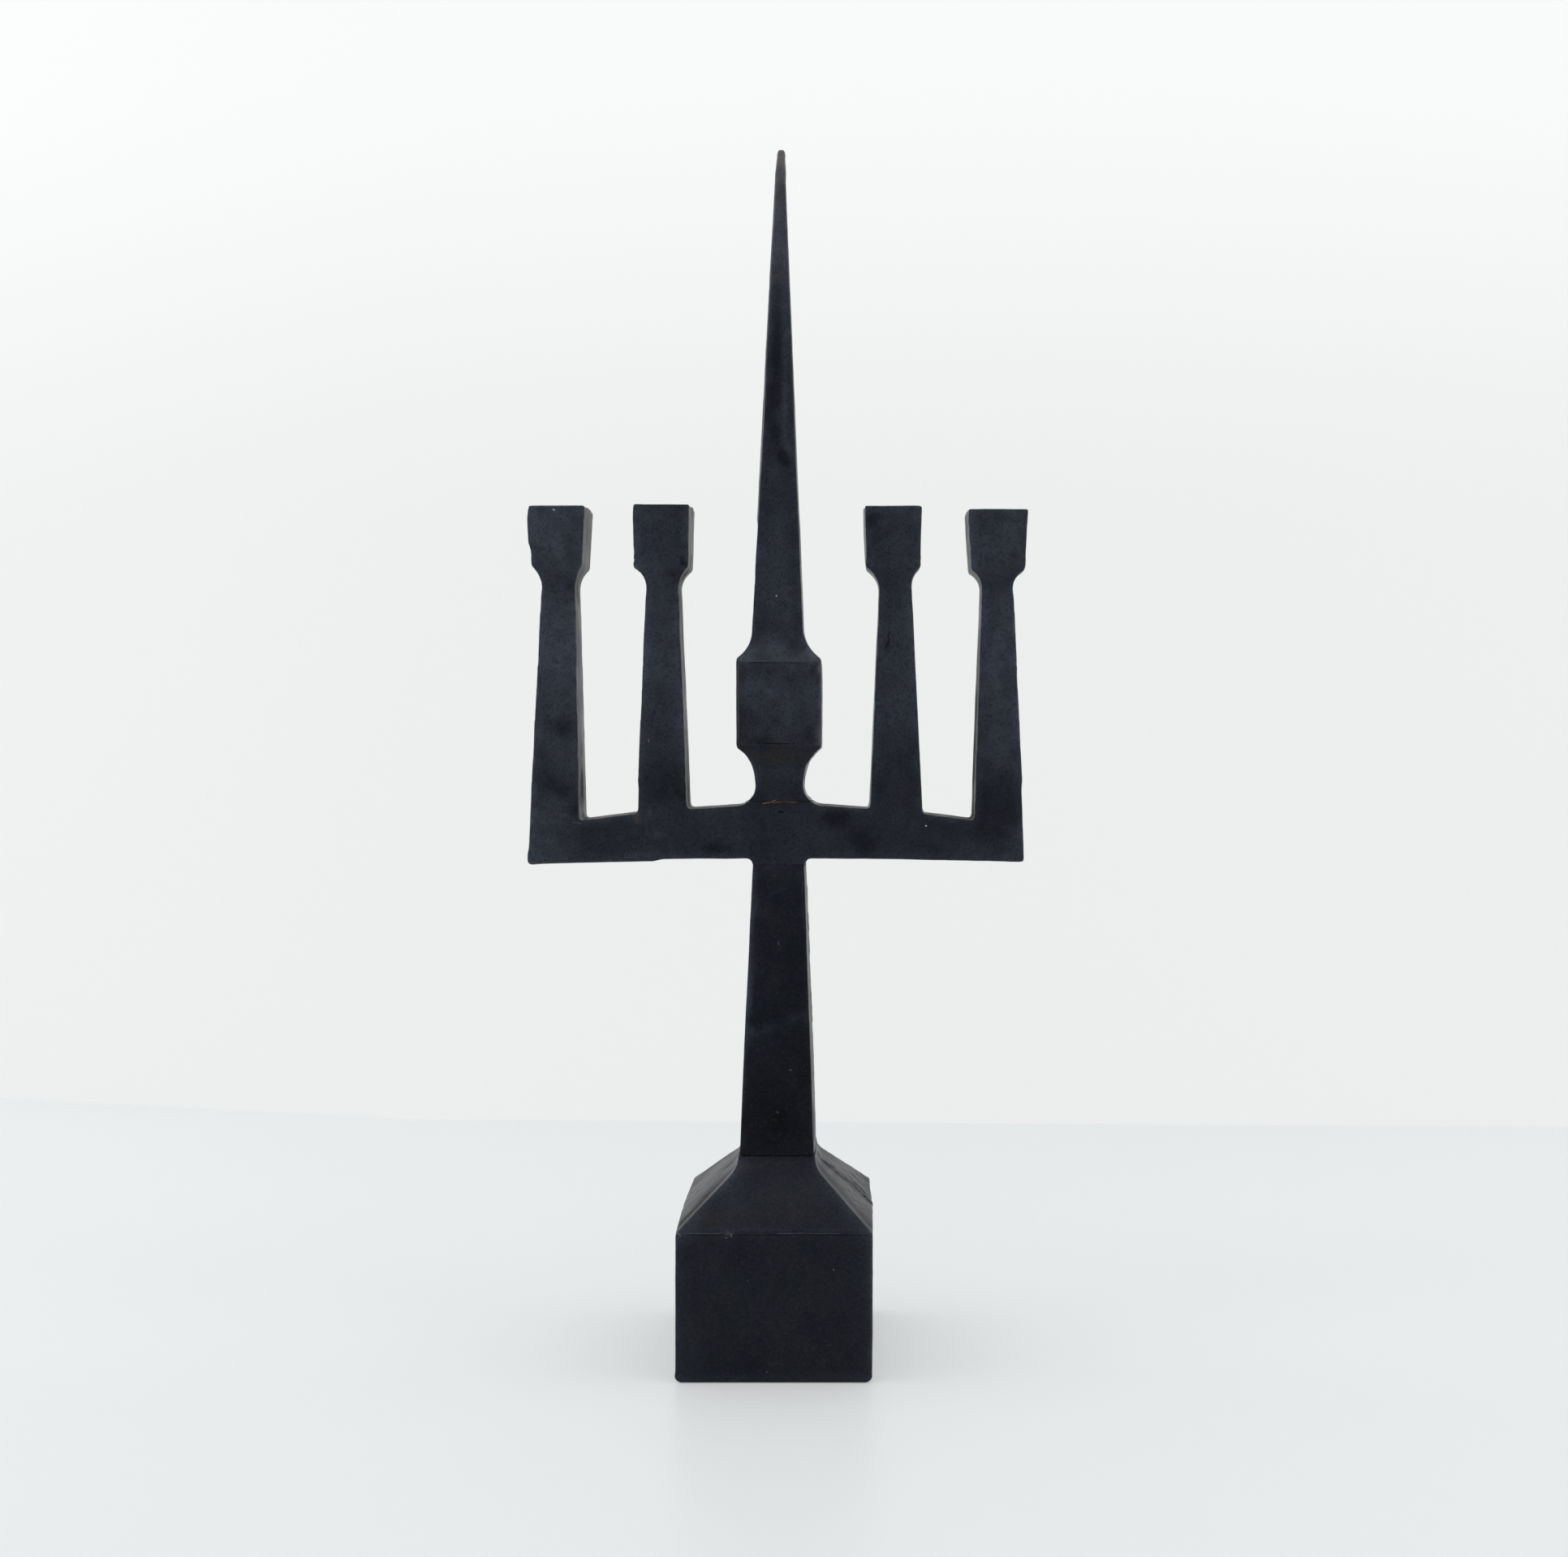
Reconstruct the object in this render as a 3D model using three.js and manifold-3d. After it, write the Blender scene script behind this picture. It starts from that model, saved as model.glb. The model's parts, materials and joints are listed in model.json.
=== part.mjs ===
// Cast-iron candelabra: a block base, a tapered stem, a crossbar with four candle arms, and a spire.
// Millimetres, with +Z up, +X to the right and -Y towards the viewer.
// The origin is the middle of the foot, on the surface that the candelabra stands on.
import * as THREE from "three";
import { mergeVertices } from "three/addons/utils/BufferGeometryUtils.js";
import Module from "manifold-3d";

const wasm = await Module();
wasm.setup();

// Moulding: every casting was drawn from a two-part mould whose halves met at y = 0
const PARTING_LAND = 0.8; // flat strip along the parting line, where the flash was ground off
const BASE_DRAFT = 1.1; // degrees that the sides fall away from the parting line
const STEM_DRAFT = 3.6; // degrees, as the next two
const FRAME_DRAFT = 2.5;
const SPIRE_DRAFT = 1.5;

// Base: a square block with a sloping shoulder, cored out from below
const BASE_WIDTH = 95.2; // at the parting line
const BASE_DEPTH = 93.5;
const BLOCK_HEIGHT = 70.7; // upright sides, from the rim to the shoulder
const FOOT_ROUND_SIDES = 2.6; // radius of the bottom edge on the left and right
const FOOT_ROUND_FRONT = 1; // and on the front and back
const SHOULDER_RISE = 29; // from the block's upper edge to the stem's seat
const SHOULDER_SLOPE = 41.5; // degrees above the horizontal
const SHOULDER_HOLLOW_SIDES = 10; // radius that turns it up to the stem on the left and right
const SHOULDER_HOLLOW_FRONT = 3.3; // and on the front and back
const BASE_WALL = 6.5;
const CROWN = 12; // solid iron under the stem's seat
const BOSS_RADIUS = 16;
const BOSS_DROP = 10; // how far the boss hangs below the crown
const RIB_THICKNESS = 5;
const RIM_WIDTH = 3.2; // iron left outside the felt's rebate

// Felt under the base
const FELT_THICKNESS = 1.7;
const FELT_PROUD = 0.3; // how far the felt holds the iron rim off the surface
const FELT_GAP = 0.25; // all round, inside the rebate
const FELT_CORNER = 2;
const FELT_CORNER_STEPS = 4;

// Stem: a square column, drawn in towards its head
const STEM_LENGTH = 142.4;
const STEM_FOOT_WIDTH = 38.6; // at the parting line
const STEM_FOOT_DEPTH = 36.4;
const STEM_HEAD_WIDTH = 26.9;
const STEM_LEAN = 0.8; // the head stands this far to the right of the foot

// Candle frame: the crossbar and its four arms
const BAR_SPAN = 245.6; // along the underside, end to end
const BAR_DEPTH = 25;
const BAR_HEIGHT = 27; // at the hub
const BAR_CROWN = 11.4; // how far the top falls from the hub to the ends
const BAR_DROOP = 1.7; // how far the underside falls from the hub to the ends
const BAR_CORNER = 1.2; // radius of the lower corners at the ends
const PAD_RISE = 2.6; // from the stem's seat to the underside, as a quarter round
const HUB_RISE = 1.7; // from the top of the bar to the spire's seat
const HUB_RUN = 7.5; // how far the hub spreads along the bar below that seat
const ROOT_FILLET = 1.6; // in each corner between an arm and the bar
const ARM_SPACING = 52; // from an outer arm to its neighbour
const ARM_ROOT_WIDTH = 25.6; // widths are at the parting line
const ARM_NECK_WIDTH = 16.5;
const ARM_NECK_HEIGHT = 107.8; // from the top of the hub to the narrowest part of an arm
const ARM_NECK_DEPTH = 17.2;
const CUP_FLARE_RISE = 10.5; // height of the hollow that spreads an arm out to its cup
const CUP_FOOT_WIDTH = 27;
const CUP_FOOT_EASE = 0.9; // how far the rounding of that corner reaches
const CUP_RIM_WIDTH = 29.4;
const CUP_FOOT_DEPTH = 26;
const CUP_RIM_DEPTH = 28.4;
const CUP_SIDE = 30; // from the foot of a cup to its rim
const SOCKET_RIM_WIDTH = 22.6; // bore for a 22 mm candle
const SOCKET_FLOOR_WIDTH = 21.4;
const SOCKET_DEPTH = 24;
const SOCKET_EASE = 0.5; // bevel at the mouth of a bore

// How far each arm strays from those sizes, as no two were cast alike: from left to right, and in x
const ARM_STRAYS = [
  {
    root: { shift: -0.4, extra: -0.1 },
    neck: { shift: 1.1, extra: 0.4 },
    cup: { shift: 0.8, footExtra: -1, rimExtra: -0.4, footRise: 0.3, rimRise: 0 },
  },
  {
    root: { shift: 1.1, extra: -0.4 },
    neck: { shift: 0.7, extra: 0.1 },
    cup: { shift: 0.8, footExtra: 0, rimExtra: -0.8, footRise: -0.3, rimRise: 0.8 },
  },
  {
    root: { shift: 1.1, extra: 1 },
    neck: { shift: 0.9, extra: 0.1 },
    cup: { shift: -0.4, footExtra: 0.4, rimExtra: 0, footRise: -0.3, rimRise: 0 },
  },
  {
    root: { shift: 0.3, extra: 0 },
    neck: { shift: -0.5, extra: -0.7 },
    cup: { shift: -0.4, footExtra: 0.4, rimExtra: 1.2, footRise: -1.8, rimRise: -1.7 },
  },
];

// Spire: a waisted neck, a square block and a long spike
const SPIRE_SHIFT = 1.1; // the neck and block stand this far to the right of the tie rod
const SPIRE_FOOT_WIDTH = 33.6;
const NECK_WIDTH = 23.8;
const NECK_DEPTH = 23.6;
const NECK_RISE = 8; // from the seat to the waist
const BLOCK_WIDTH = 42.5;
const BLOCK_DEPTH = 41.4;
const NECK_FLARE_RISE = 20.7; // from the waist to the block
const CUBE_HEIGHT = 40.3; // of its front and back
const CUBE_SIDE_REACH = 2.1; // how far its left and right sides run past those, up and down
const CUBE_SIDE_EASE = 1.5; // how far the rounding of the left and right corners reaches
const FLARE_LAG = 2.4; // how far the hollows under and over those sides begin past the waists
const SPIKE_FLARE_RISE = 19.4; // from the block to the foot of the spike
const SPIKE_FOOT_WIDTH = 25.6;
const SPIKE_LENGTH = 238.6;
const SPIKE_TIP_WIDTH = 3.4;
const SPIKE_SHIFT = -1; // the spike's foot stands this far from the middle of the block
const SPIKE_LEAN = 1.5; // the tip stands this far to the right of the spike's foot

// Fastenings
const ROD_DIAMETER = 10;
const ROD_PLAY = 0.5; // between the rod and the bores that it passes through
const THREAD_PLAY = 0.1; // between the rod and the tapped hole or the nut
const ROD_GRIP = 25; // length of rod screwed into the spire
const ROD_TAIL = 5; // length of rod below the nut
const ROD_CHAMFER = 1;
const TAPPED_RUNOUT = 3; // depth of hole beyond the end of the rod
const PLATE_WASHER_WIDTH = 30;
const PLATE_WASHER_THICKNESS = 3;
const SPRING_WASHER_WIDTH = 18.1;
const SPRING_WASHER_THICKNESS = 2.2;
const SPRING_WASHER_SPLIT = 1.2;
const NUT_ACROSS_FLATS = 17;
const NUT_HEIGHT = 8.4;
const DOWEL_DIAMETER = 3;
const DOWEL_LENGTH = 10;
const DOWEL_OFFSET = 9; // from the tie rod's axis
const DOWEL_PLAY = 0.1; // all round
const DOWEL_RUNOUT = 0.5; // past each end

const CUT = 5; // how far a cutting shape runs past the face that it cuts
const FRAME_OVERRUN = 1; // the same for the frame's drafted body, whose small corners allow no more
const ARC_STEPS = 8;
const EASE_STEPS = 4;
const ROUND_STEPS = 48;

// Heights that follow from the sizes above
const rimZ = FELT_PROUD;
const shoulderZ = rimZ + BLOCK_HEIGHT;
const stemFootZ = shoulderZ + SHOULDER_RISE;
const stemHeadZ = stemFootZ + STEM_LENGTH;
const barBottomZ = stemHeadZ + PAD_RISE;
const barTopZ = barBottomZ + BAR_HEIGHT;
const spireSeatZ = barTopZ + HUB_RISE;
const crownZ = stemFootZ - CROWN;
const bossZ = crownZ - BOSS_DROP;
const armNeckZ = barTopZ + ARM_NECK_HEIGHT;
const cupFootZ = armNeckZ + CUP_FLARE_RISE;
const waistZ = spireSeatZ + NECK_RISE;
const blockZ = waistZ + NECK_FLARE_RISE;
const blockTopZ = blockZ + CUBE_HEIGHT;
const spikeZ = blockTopZ + SPIKE_FLARE_RISE;
const tipZ = spikeZ + SPIKE_LENGTH;
const rodTopZ = spireSeatZ + ROD_GRIP;

// The arms as cast, from left to right
const outerArmX = (BAR_SPAN - ARM_ROOT_WIDTH) / 2;
const innerArmX = outerArmX - ARM_SPACING;
const arms = [-outerArmX, -innerArmX, innerArmX, outerArmX].map((x, place) => {
  const { root, neck, cup } = ARM_STRAYS[place];
  return {
    root: { x: x + root.shift, width: ARM_ROOT_WIDTH + root.extra },
    neck: { x: x + neck.shift, width: ARM_NECK_WIDTH + neck.extra },
    cup: {
      x: x + cup.shift,
      foot: CUP_FOOT_WIDTH + cup.footExtra,
      rim: CUP_RIM_WIDTH + cup.rimExtra,
      footZ: cupFootZ + cup.footRise,
      rimZ: cupFootZ + CUP_SIDE + cup.rimRise,
    },
  };
});

const radians = THREE.MathUtils.degToRad;

/** A three.js geometry as a solid that can be joined and cut. */
function solidOf(geometry) {
  const bare = geometry.clone();
  bare.deleteAttribute("normal");
  bare.deleteAttribute("uv");
  const merged = mergeVertices(bare, 1e-4);
  return new wasm.Manifold(
    new wasm.Mesh({
      numProp: 3,
      vertProperties: new Float32Array(merged.attributes.position.array),
      triVerts: new Uint32Array(merged.index.array),
    }),
  );
}

/** A solid as a three.js geometry. */
function geometryOf(solid) {
  const { vertProperties, triVerts } = solid.getMesh();
  const geometry = new THREE.BufferGeometry();
  geometry.setAttribute("position", new THREE.BufferAttribute(vertProperties, 3));
  geometry.setIndex(new THREE.BufferAttribute(triVerts, 1));
  const faceted = geometry.toNonIndexed();
  faceted.computeVertexNormals();
  return faceted;
}

/** A round solid on an upright axis through x, from (radius, z) points from the axis and back to it. */
function turned(points, x = 0, steps = ROUND_STEPS) {
  const profile = points.map(([radius, z]) => new THREE.Vector2(radius, z));
  return solidOf(new THREE.LatheGeometry(profile, steps).rotateX(Math.PI / 2).translate(x, 0, 0));
}

/** A plain upright cylinder. */
function cylinder(radius, bottom, top, x = 0) {
  return turned([[0, bottom], [radius, bottom], [radius, top], [0, top]], x);
}

/** A box between two corners. */
function box(low, high) {
  const size = high.map((value, axis) => value - low[axis]);
  const middle = high.map((value, axis) => (value + low[axis]) / 2);
  return solidOf(new THREE.BoxGeometry(...size).translate(...middle));
}

/**
 * A casting with square sections. The front outline, in x and z, holds at the parting line and falls away
 * by the draft towards the front and back, to an overrun past its depth. The side outline, in y and z,
 * then trims it.
 */
function casting(frontOutline, sideOutline, { draft, depth, width, overrun = CUT }) {
  const reach = depth / 2 + overrun;
  const fall = Math.tan(radians(draft)) * reach;
  const front = new THREE.ExtrudeGeometry(frontOutline, {
    depth: PARTING_LAND,
    bevelThickness: reach,
    bevelSize: fall,
    bevelOffset: -fall,
    bevelSegments: 1,
    curveSegments: ARC_STEPS,
  });
  front.translate(0, 0, -PARTING_LAND / 2).rotateX(Math.PI / 2);
  const side = new THREE.ExtrudeGeometry(sideOutline, {
    depth: width + 2 * CUT,
    bevelEnabled: false,
    curveSegments: ARC_STEPS,
  });
  side.translate(0, 0, -width / 2 - CUT).rotateX(Math.PI / 2).rotateZ(Math.PI / 2);
  return solidOf(front).intersect(solidOf(side));
}

/** Closes an outline from the points of its right-hand side, which run upwards, by mirroring them. */
function mirrored(rightSide) {
  const leftSide = rightSide.map(({ x, y }) => new THREE.Vector2(-x, y)).reverse();
  return new THREE.Shape([...rightSide, ...leftSide]);
}

/**
 * The arc that spreads a column out to a wider corner: upright at the waist, and steeper towards the corner.
 * Its points run from the waist to the corner, and rise is negative where the corner is below the waist.
 */
function hollow(waist, corner, waistHeight, rise) {
  const spread = corner - waist;
  const sweep = 2 * Math.atan(Math.abs(spread / rise));
  const radius = Math.abs(rise) / Math.sin(sweep);
  return Array.from({ length: ARC_STEPS + 1 }, (_, step) => {
    const turn = (sweep * step) / ARC_STEPS;
    return new THREE.Vector2(
      waist + Math.sign(spread) * radius * (1 - Math.cos(turn)),
      waistHeight + Math.sign(rise) * radius * Math.sin(turn),
    );
  });
}

/** Rounds the corner at the end of a hollow, where it meets an upright side, within a reach. */
function eased(flare, reach) {
  const corner = flare.at(-1);
  const before = flare.at(-2);
  const start = corner.clone().lerp(before, reach / corner.distanceTo(before));
  const end = new THREE.Vector2(corner.x, corner.y + Math.sign(corner.y - before.y) * reach);
  const curve = new THREE.QuadraticBezierCurve(start, corner, end);
  return [...flare.slice(0, -1), ...curve.getPoints(EASE_STEPS)];
}

/** One side of the base, from its rounded bottom edge up to the hollow that ends at the stem's seat. */
function baseSide({ width, seatWidth, round, turn }) {
  const half = width / 2;
  const seat = seatWidth / 2;
  const side = new THREE.Path().moveTo(half - round, rimZ);
  side.absarc(half - round, rimZ + round, round, -Math.PI / 2, 0, false);
  side.lineTo(half, shoulderZ);
  const slope = radians(SHOULDER_SLOPE);
  const turnRun = turn * (1 - Math.sin(slope));
  const turnRise = Math.min(turn * Math.cos(slope), SHOULDER_RISE / 2);
  side.lineTo(seat + turnRun, stemFootZ - turnRise);
  side.quadraticCurveTo(seat, stemFootZ - turnRise + turnRun * Math.tan(slope), seat, stemFootZ);
  return side.getPoints(ARC_STEPS);
}

/** The hollow inside the base: upright walls, then a roof that runs with the shoulder up to the crown. */
function baseCore(width, seatWidth) {
  const half = width / 2 - BASE_WALL;
  const slope = radians(SHOULDER_SLOPE);
  const wallAlongFloor = BASE_WALL / Math.sin(slope);
  const roofFoot = shoulderZ - (wallAlongFloor - BASE_WALL) * Math.tan(slope);
  const roofTop = Math.max(seatWidth / 2, half - (crownZ - roofFoot) / Math.tan(slope));
  return mirrored([
    new THREE.Vector2(half, rimZ - CUT),
    new THREE.Vector2(half, roofFoot),
    new THREE.Vector2(roofTop, crownZ),
  ]);
}

/** The bore that lets the tie rod through. */
function rodBore() {
  return cylinder(ROD_DIAMETER / 2 + ROD_PLAY, crownZ - BOSS_DROP - CUT, spireSeatZ + CUT);
}

/** The hole that one dowel needs across the seam at a height. */
function dowelHole(seam) {
  const reach = DOWEL_LENGTH / 2 + DOWEL_RUNOUT;
  return cylinder(DOWEL_DIAMETER / 2 + DOWEL_PLAY, seam - reach, seam + reach, DOWEL_OFFSET);
}

function makeBaseBlock() {
  const depth = BASE_DEPTH;
  const front = baseSide({
    width: BASE_WIDTH,
    seatWidth: STEM_FOOT_WIDTH,
    round: FOOT_ROUND_SIDES,
    turn: SHOULDER_HOLLOW_SIDES,
  });
  const side = baseSide({
    width: BASE_DEPTH,
    seatWidth: STEM_FOOT_DEPTH,
    round: FOOT_ROUND_FRONT,
    turn: SHOULDER_HOLLOW_FRONT,
  });
  const outer = casting(mirrored(front), mirrored(side), { draft: BASE_DRAFT, depth, width: BASE_WIDTH });
  const cavity = casting(
    baseCore(BASE_DEPTH, STEM_FOOT_DEPTH),
    baseCore(BASE_DEPTH, STEM_FOOT_DEPTH),
    { draft: 0, depth, width: BASE_WIDTH },
  );
  const ribReach = BASE_DEPTH / 2;
  const ribHalf = RIB_THICKNESS / 2;
  const core = cavity
    .subtract(cylinder(BOSS_RADIUS, bossZ, crownZ + CUT))
    .subtract(box([-ribReach, -ribHalf, bossZ], [ribReach, ribHalf, crownZ + CUT]))
    .subtract(box([-ribHalf, -ribReach, bossZ], [ribHalf, ribReach, crownZ + CUT]));
  const rebate = BASE_DEPTH / 2 - RIM_WIDTH;
  return outer
    .subtract(core)
    .subtract(box([-rebate, -rebate, rimZ - CUT], [rebate, rebate, FELT_THICKNESS]))
    .subtract(rodBore())
    .subtract(dowelHole(stemFootZ));
}

function makeFelt() {
  const half = BASE_DEPTH / 2 - RIM_WIDTH - FELT_GAP;
  const outline = new THREE.Shape().moveTo(half, half - FELT_CORNER);
  const reach = Math.SQRT2 * (half - FELT_CORNER);
  for (let corner = 0; corner < 4; corner += 1) {
    const start = (corner * Math.PI) / 2;
    const end = start + Math.PI / 2;
    const middle = (start + end) / 2;
    outline.absarc(reach * Math.cos(middle), reach * Math.sin(middle), FELT_CORNER, start, end, false);
  }
  const options = { depth: FELT_THICKNESS, bevelEnabled: false, curveSegments: FELT_CORNER_STEPS };
  return solidOf(new THREE.ExtrudeGeometry(outline, options));
}

function makeStem() {
  const taper = (STEM_FOOT_WIDTH - STEM_HEAD_WIDTH) / 2 / STEM_LENGTH;
  const front = new THREE.Shape([
    new THREE.Vector2(-STEM_FOOT_WIDTH / 2 - taper * CUT, stemFootZ - CUT),
    new THREE.Vector2(STEM_FOOT_WIDTH / 2 + taper * CUT, stemFootZ - CUT),
    new THREE.Vector2(STEM_LEAN + STEM_HEAD_WIDTH / 2 - taper * CUT, stemHeadZ + CUT),
    new THREE.Vector2(STEM_LEAN - STEM_HEAD_WIDTH / 2 + taper * CUT, stemHeadZ + CUT),
  ]);
  const side = mirrored([
    new THREE.Vector2(STEM_FOOT_DEPTH / 2, stemFootZ),
    new THREE.Vector2(BAR_DEPTH / 2, stemHeadZ),
  ]);
  return casting(front, side, { draft: STEM_DRAFT, depth: STEM_FOOT_DEPTH, width: STEM_FOOT_WIDTH })
    .subtract(rodBore())
    .subtract(dowelHole(stemFootZ))
    .subtract(dowelHole(stemHeadZ));
}

/** Height of the crossbar's crowned top at x. */
function barTop(x) {
  return barTopZ - BAR_CROWN * (x / (BAR_SPAN / 2)) ** 2;
}

/** The height that the bowed underside of the bar has at its ends. */
const barEndZ = barBottomZ - BAR_DROOP;

/** One side of an arm above its root, upwards: side is 1 for the right-hand side and -1 for the left. */
function armSide(arm, side) {
  const { neck, cup } = arm;
  const flare = hollow(neck.width / 2, cup.foot / 2, armNeckZ, cup.footZ - armNeckZ);
  const overshoot = cup.rimZ + CUT;
  const spread = (cup.rim - cup.foot) / 2 / CUP_SIDE;
  const top = cup.foot / 2 + spread * (overshoot - cup.footZ);
  const along = (z) => THREE.MathUtils.clamp((z - armNeckZ) / (cup.footZ - armNeckZ), 0, 1);
  const middle = (z) => THREE.MathUtils.lerp(neck.x, cup.x, along(z));
  return [
    ...eased(flare, CUP_FOOT_EASE).map(({ x, y }) => new THREE.Vector2(middle(y) + side * x, y)),
    new THREE.Vector2(cup.x + side * top, overshoot),
  ];
}

/** Adds the filleted corner between an arm's side and the bar: from the bar if rising, else down to it. */
function addRoot(outline, arm, side, rising) {
  const corner = arm.root.x + (side * arm.root.width) / 2;
  const neck = arm.neck.x + (side * arm.neck.width) / 2;
  const onBar = corner + side * ROOT_FILLET;
  const onArmZ = barTop(corner) + ROOT_FILLET;
  const onArm = THREE.MathUtils.mapLinear(onArmZ, barTop(corner), armNeckZ, corner, neck);
  const ends = [
    [onBar, barTop(onBar)],
    [onArm, onArmZ],
  ];
  const [from, to] = rising ? ends : ends.reverse();
  outline.lineTo(...from);
  outline.quadraticCurveTo(corner, barTop(corner), ...to);
}

/** Adds the pad that sits on the stem, with a quarter round on each side up to the bar's underside. */
function addStemPad(outline) {
  const left = STEM_LEAN - STEM_HEAD_WIDTH / 2;
  const right = STEM_LEAN + STEM_HEAD_WIDTH / 2;
  outline.absarc(left - PAD_RISE, stemHeadZ, PAD_RISE, Math.PI / 2, 0, true);
  outline.lineTo(left, stemHeadZ - CUT);
  outline.lineTo(right, stemHeadZ - CUT);
  outline.absarc(right + PAD_RISE, stemHeadZ, PAD_RISE, Math.PI, Math.PI / 2, true);
}

/** Adds the hub that the spire sits on, from right to left. */
function addHub(outline) {
  const right = SPIRE_SHIFT + SPIRE_FOOT_WIDTH / 2;
  const left = SPIRE_SHIFT - SPIRE_FOOT_WIDTH / 2;
  outline.lineTo(right + HUB_RUN, barTopZ);
  outline.quadraticCurveTo(right + HUB_RISE, barTopZ, right, spireSeatZ);
  outline.lineTo(right, spireSeatZ + CUT);
  outline.lineTo(left, spireSeatZ + CUT);
  outline.lineTo(left, spireSeatZ);
  outline.quadraticCurveTo(left - HUB_RISE, barTopZ, left - HUB_RUN, barTopZ);
}

/** The front outline of the crossbar and its arms, anticlockwise from the left end of the underside. */
function frameOutline() {
  const end = BAR_SPAN / 2;
  const padEdge = STEM_HEAD_WIDTH / 2 + PAD_RISE;
  const left = STEM_LEAN - padEdge;
  const right = STEM_LEAN + padEdge;
  const outline = new THREE.Shape().moveTo(-end, barEndZ + BAR_CORNER);
  outline.quadraticCurveTo(-end, barEndZ, -end + BAR_CORNER, barEndZ);
  outline.quadraticCurveTo((left - end) / 2, barBottomZ, left, barBottomZ);
  addStemPad(outline);
  outline.quadraticCurveTo((right + end) / 2, barBottomZ, end - BAR_CORNER, barEndZ);
  outline.quadraticCurveTo(end, barEndZ, end, barEndZ + BAR_CORNER);
  [...arms].reverse().forEach((arm, place) => {
    if (place > 0) addRoot(outline, arm, 1, true);
    armSide(arm, 1).forEach(({ x, y }) => outline.lineTo(x, y));
    const downwards = armSide(arm, -1).reverse();
    downwards.forEach(({ x, y }) => outline.lineTo(x, y));
    if (place < arms.length - 1) addRoot(outline, arm, -1, false);
    if (place === arms.length / 2 - 1) addHub(outline);
  });
  return outline;
}

/** The side outline of the bar and its arms: upright at the bar, in to the necks, and out to the cups. */
function frameSide() {
  const tallest = Math.max(...arms.map((arm) => arm.cup.rimZ)) + CUT;
  const spread = (CUP_RIM_DEPTH - CUP_FOOT_DEPTH) / 2 / CUP_SIDE;
  return mirrored([
    new THREE.Vector2(BAR_DEPTH / 2, stemHeadZ),
    new THREE.Vector2(BAR_DEPTH / 2, spireSeatZ),
    ...hollow(ARM_NECK_DEPTH / 2, CUP_FOOT_DEPTH / 2, armNeckZ, CUP_FLARE_RISE),
    new THREE.Vector2(CUP_FOOT_DEPTH / 2 + spread * (tallest - cupFootZ), tallest),
  ]);
}

/** The cut that faces off one cup and bores its candle socket. */
function socketCut(arm) {
  const rim = arm.cup.rimZ;
  const floor = rim - SOCKET_DEPTH;
  const mouth = SOCKET_RIM_WIDTH / 2;
  const facing = (arm.cup.rim + CUP_RIM_DEPTH) / 2;
  return turned(
    [
      [0, floor],
      [SOCKET_FLOOR_WIDTH / 2, floor],
      [mouth, rim - SOCKET_EASE],
      [mouth + SOCKET_EASE, rim],
      [facing, rim],
      [facing, rim + 2 * CUT],
      [0, rim + 2 * CUT],
    ],
    arm.cup.x,
  );
}

function makeCandleFrame() {
  const rough = casting(frameOutline(), frameSide(), {
    draft: FRAME_DRAFT,
    depth: CUP_RIM_DEPTH,
    width: BAR_SPAN,
    overrun: FRAME_OVERRUN,
  });
  const seatReach = SPIRE_FOOT_WIDTH / 2 + HUB_RISE;
  const seatCut = box(
    [SPIRE_SHIFT - seatReach, -BAR_DEPTH, spireSeatZ],
    [SPIRE_SHIFT + seatReach, BAR_DEPTH, spireSeatZ + 2 * CUT],
  );
  return arms.reduce((frame, arm) => frame.subtract(socketCut(arm)), rough)
    .subtract(seatCut)
    .subtract(rodBore())
    .subtract(dowelHole(stemHeadZ))
    .subtract(dowelHole(spireSeatZ));
}

/** The end of the spike on one side, rounded over. */
function spikeTip() {
  const tip = SPIKE_TIP_WIDTH / 2;
  return [
    new THREE.Vector2(tip, tipZ - tip),
    new THREE.Vector2(tip * Math.SQRT1_2, tipZ - tip * (1 - Math.SQRT1_2)),
    new THREE.Vector2(tip / 3, tipZ),
  ];
}

/** The right-hand side of the spire in its front outline, upwards from below its seat. */
function spireFrontSide() {
  const foot = SPIRE_FOOT_WIDTH / 2;
  const neck = NECK_WIDTH / 2;
  const block = BLOCK_WIDTH / 2;
  const lag = CUBE_SIDE_REACH + FLARE_LAG;
  const under = hollow(neck, block, waistZ + FLARE_LAG, NECK_FLARE_RISE - lag);
  const over = hollow(SPIKE_FOOT_WIDTH / 2, block, spikeZ - FLARE_LAG, lag - SPIKE_FLARE_RISE);
  return [
    new THREE.Vector2(foot, spireSeatZ - CUT),
    ...hollow(neck, foot, waistZ, -NECK_RISE).reverse(),
    ...eased(under, CUBE_SIDE_EASE),
    ...eased(over, CUBE_SIDE_EASE).reverse(),
    ...spikeTip(),
  ];
}

/** One side of the spire in its side outline, upwards from its seat. */
function spireDepthSide() {
  const block = BLOCK_DEPTH / 2;
  return [
    new THREE.Vector2(BAR_DEPTH / 2, spireSeatZ),
    ...hollow(NECK_DEPTH / 2, block, waistZ, NECK_FLARE_RISE),
    ...hollow(SPIKE_FOOT_WIDTH / 2, block, spikeZ, -SPIKE_FLARE_RISE).reverse(),
    ...spikeTip(),
  ];
}

/** The spire's axis at a height: upright through the block, over to the spike's foot, then leaning. */
function spireAxis(z) {
  const stepped = THREE.MathUtils.clamp((z - blockTopZ) / SPIKE_FLARE_RISE, 0, 1);
  const along = Math.max(0, z - spikeZ) / SPIKE_LENGTH;
  return SPIRE_SHIFT + SPIKE_SHIFT * stepped + SPIKE_LEAN * along;
}

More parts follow.
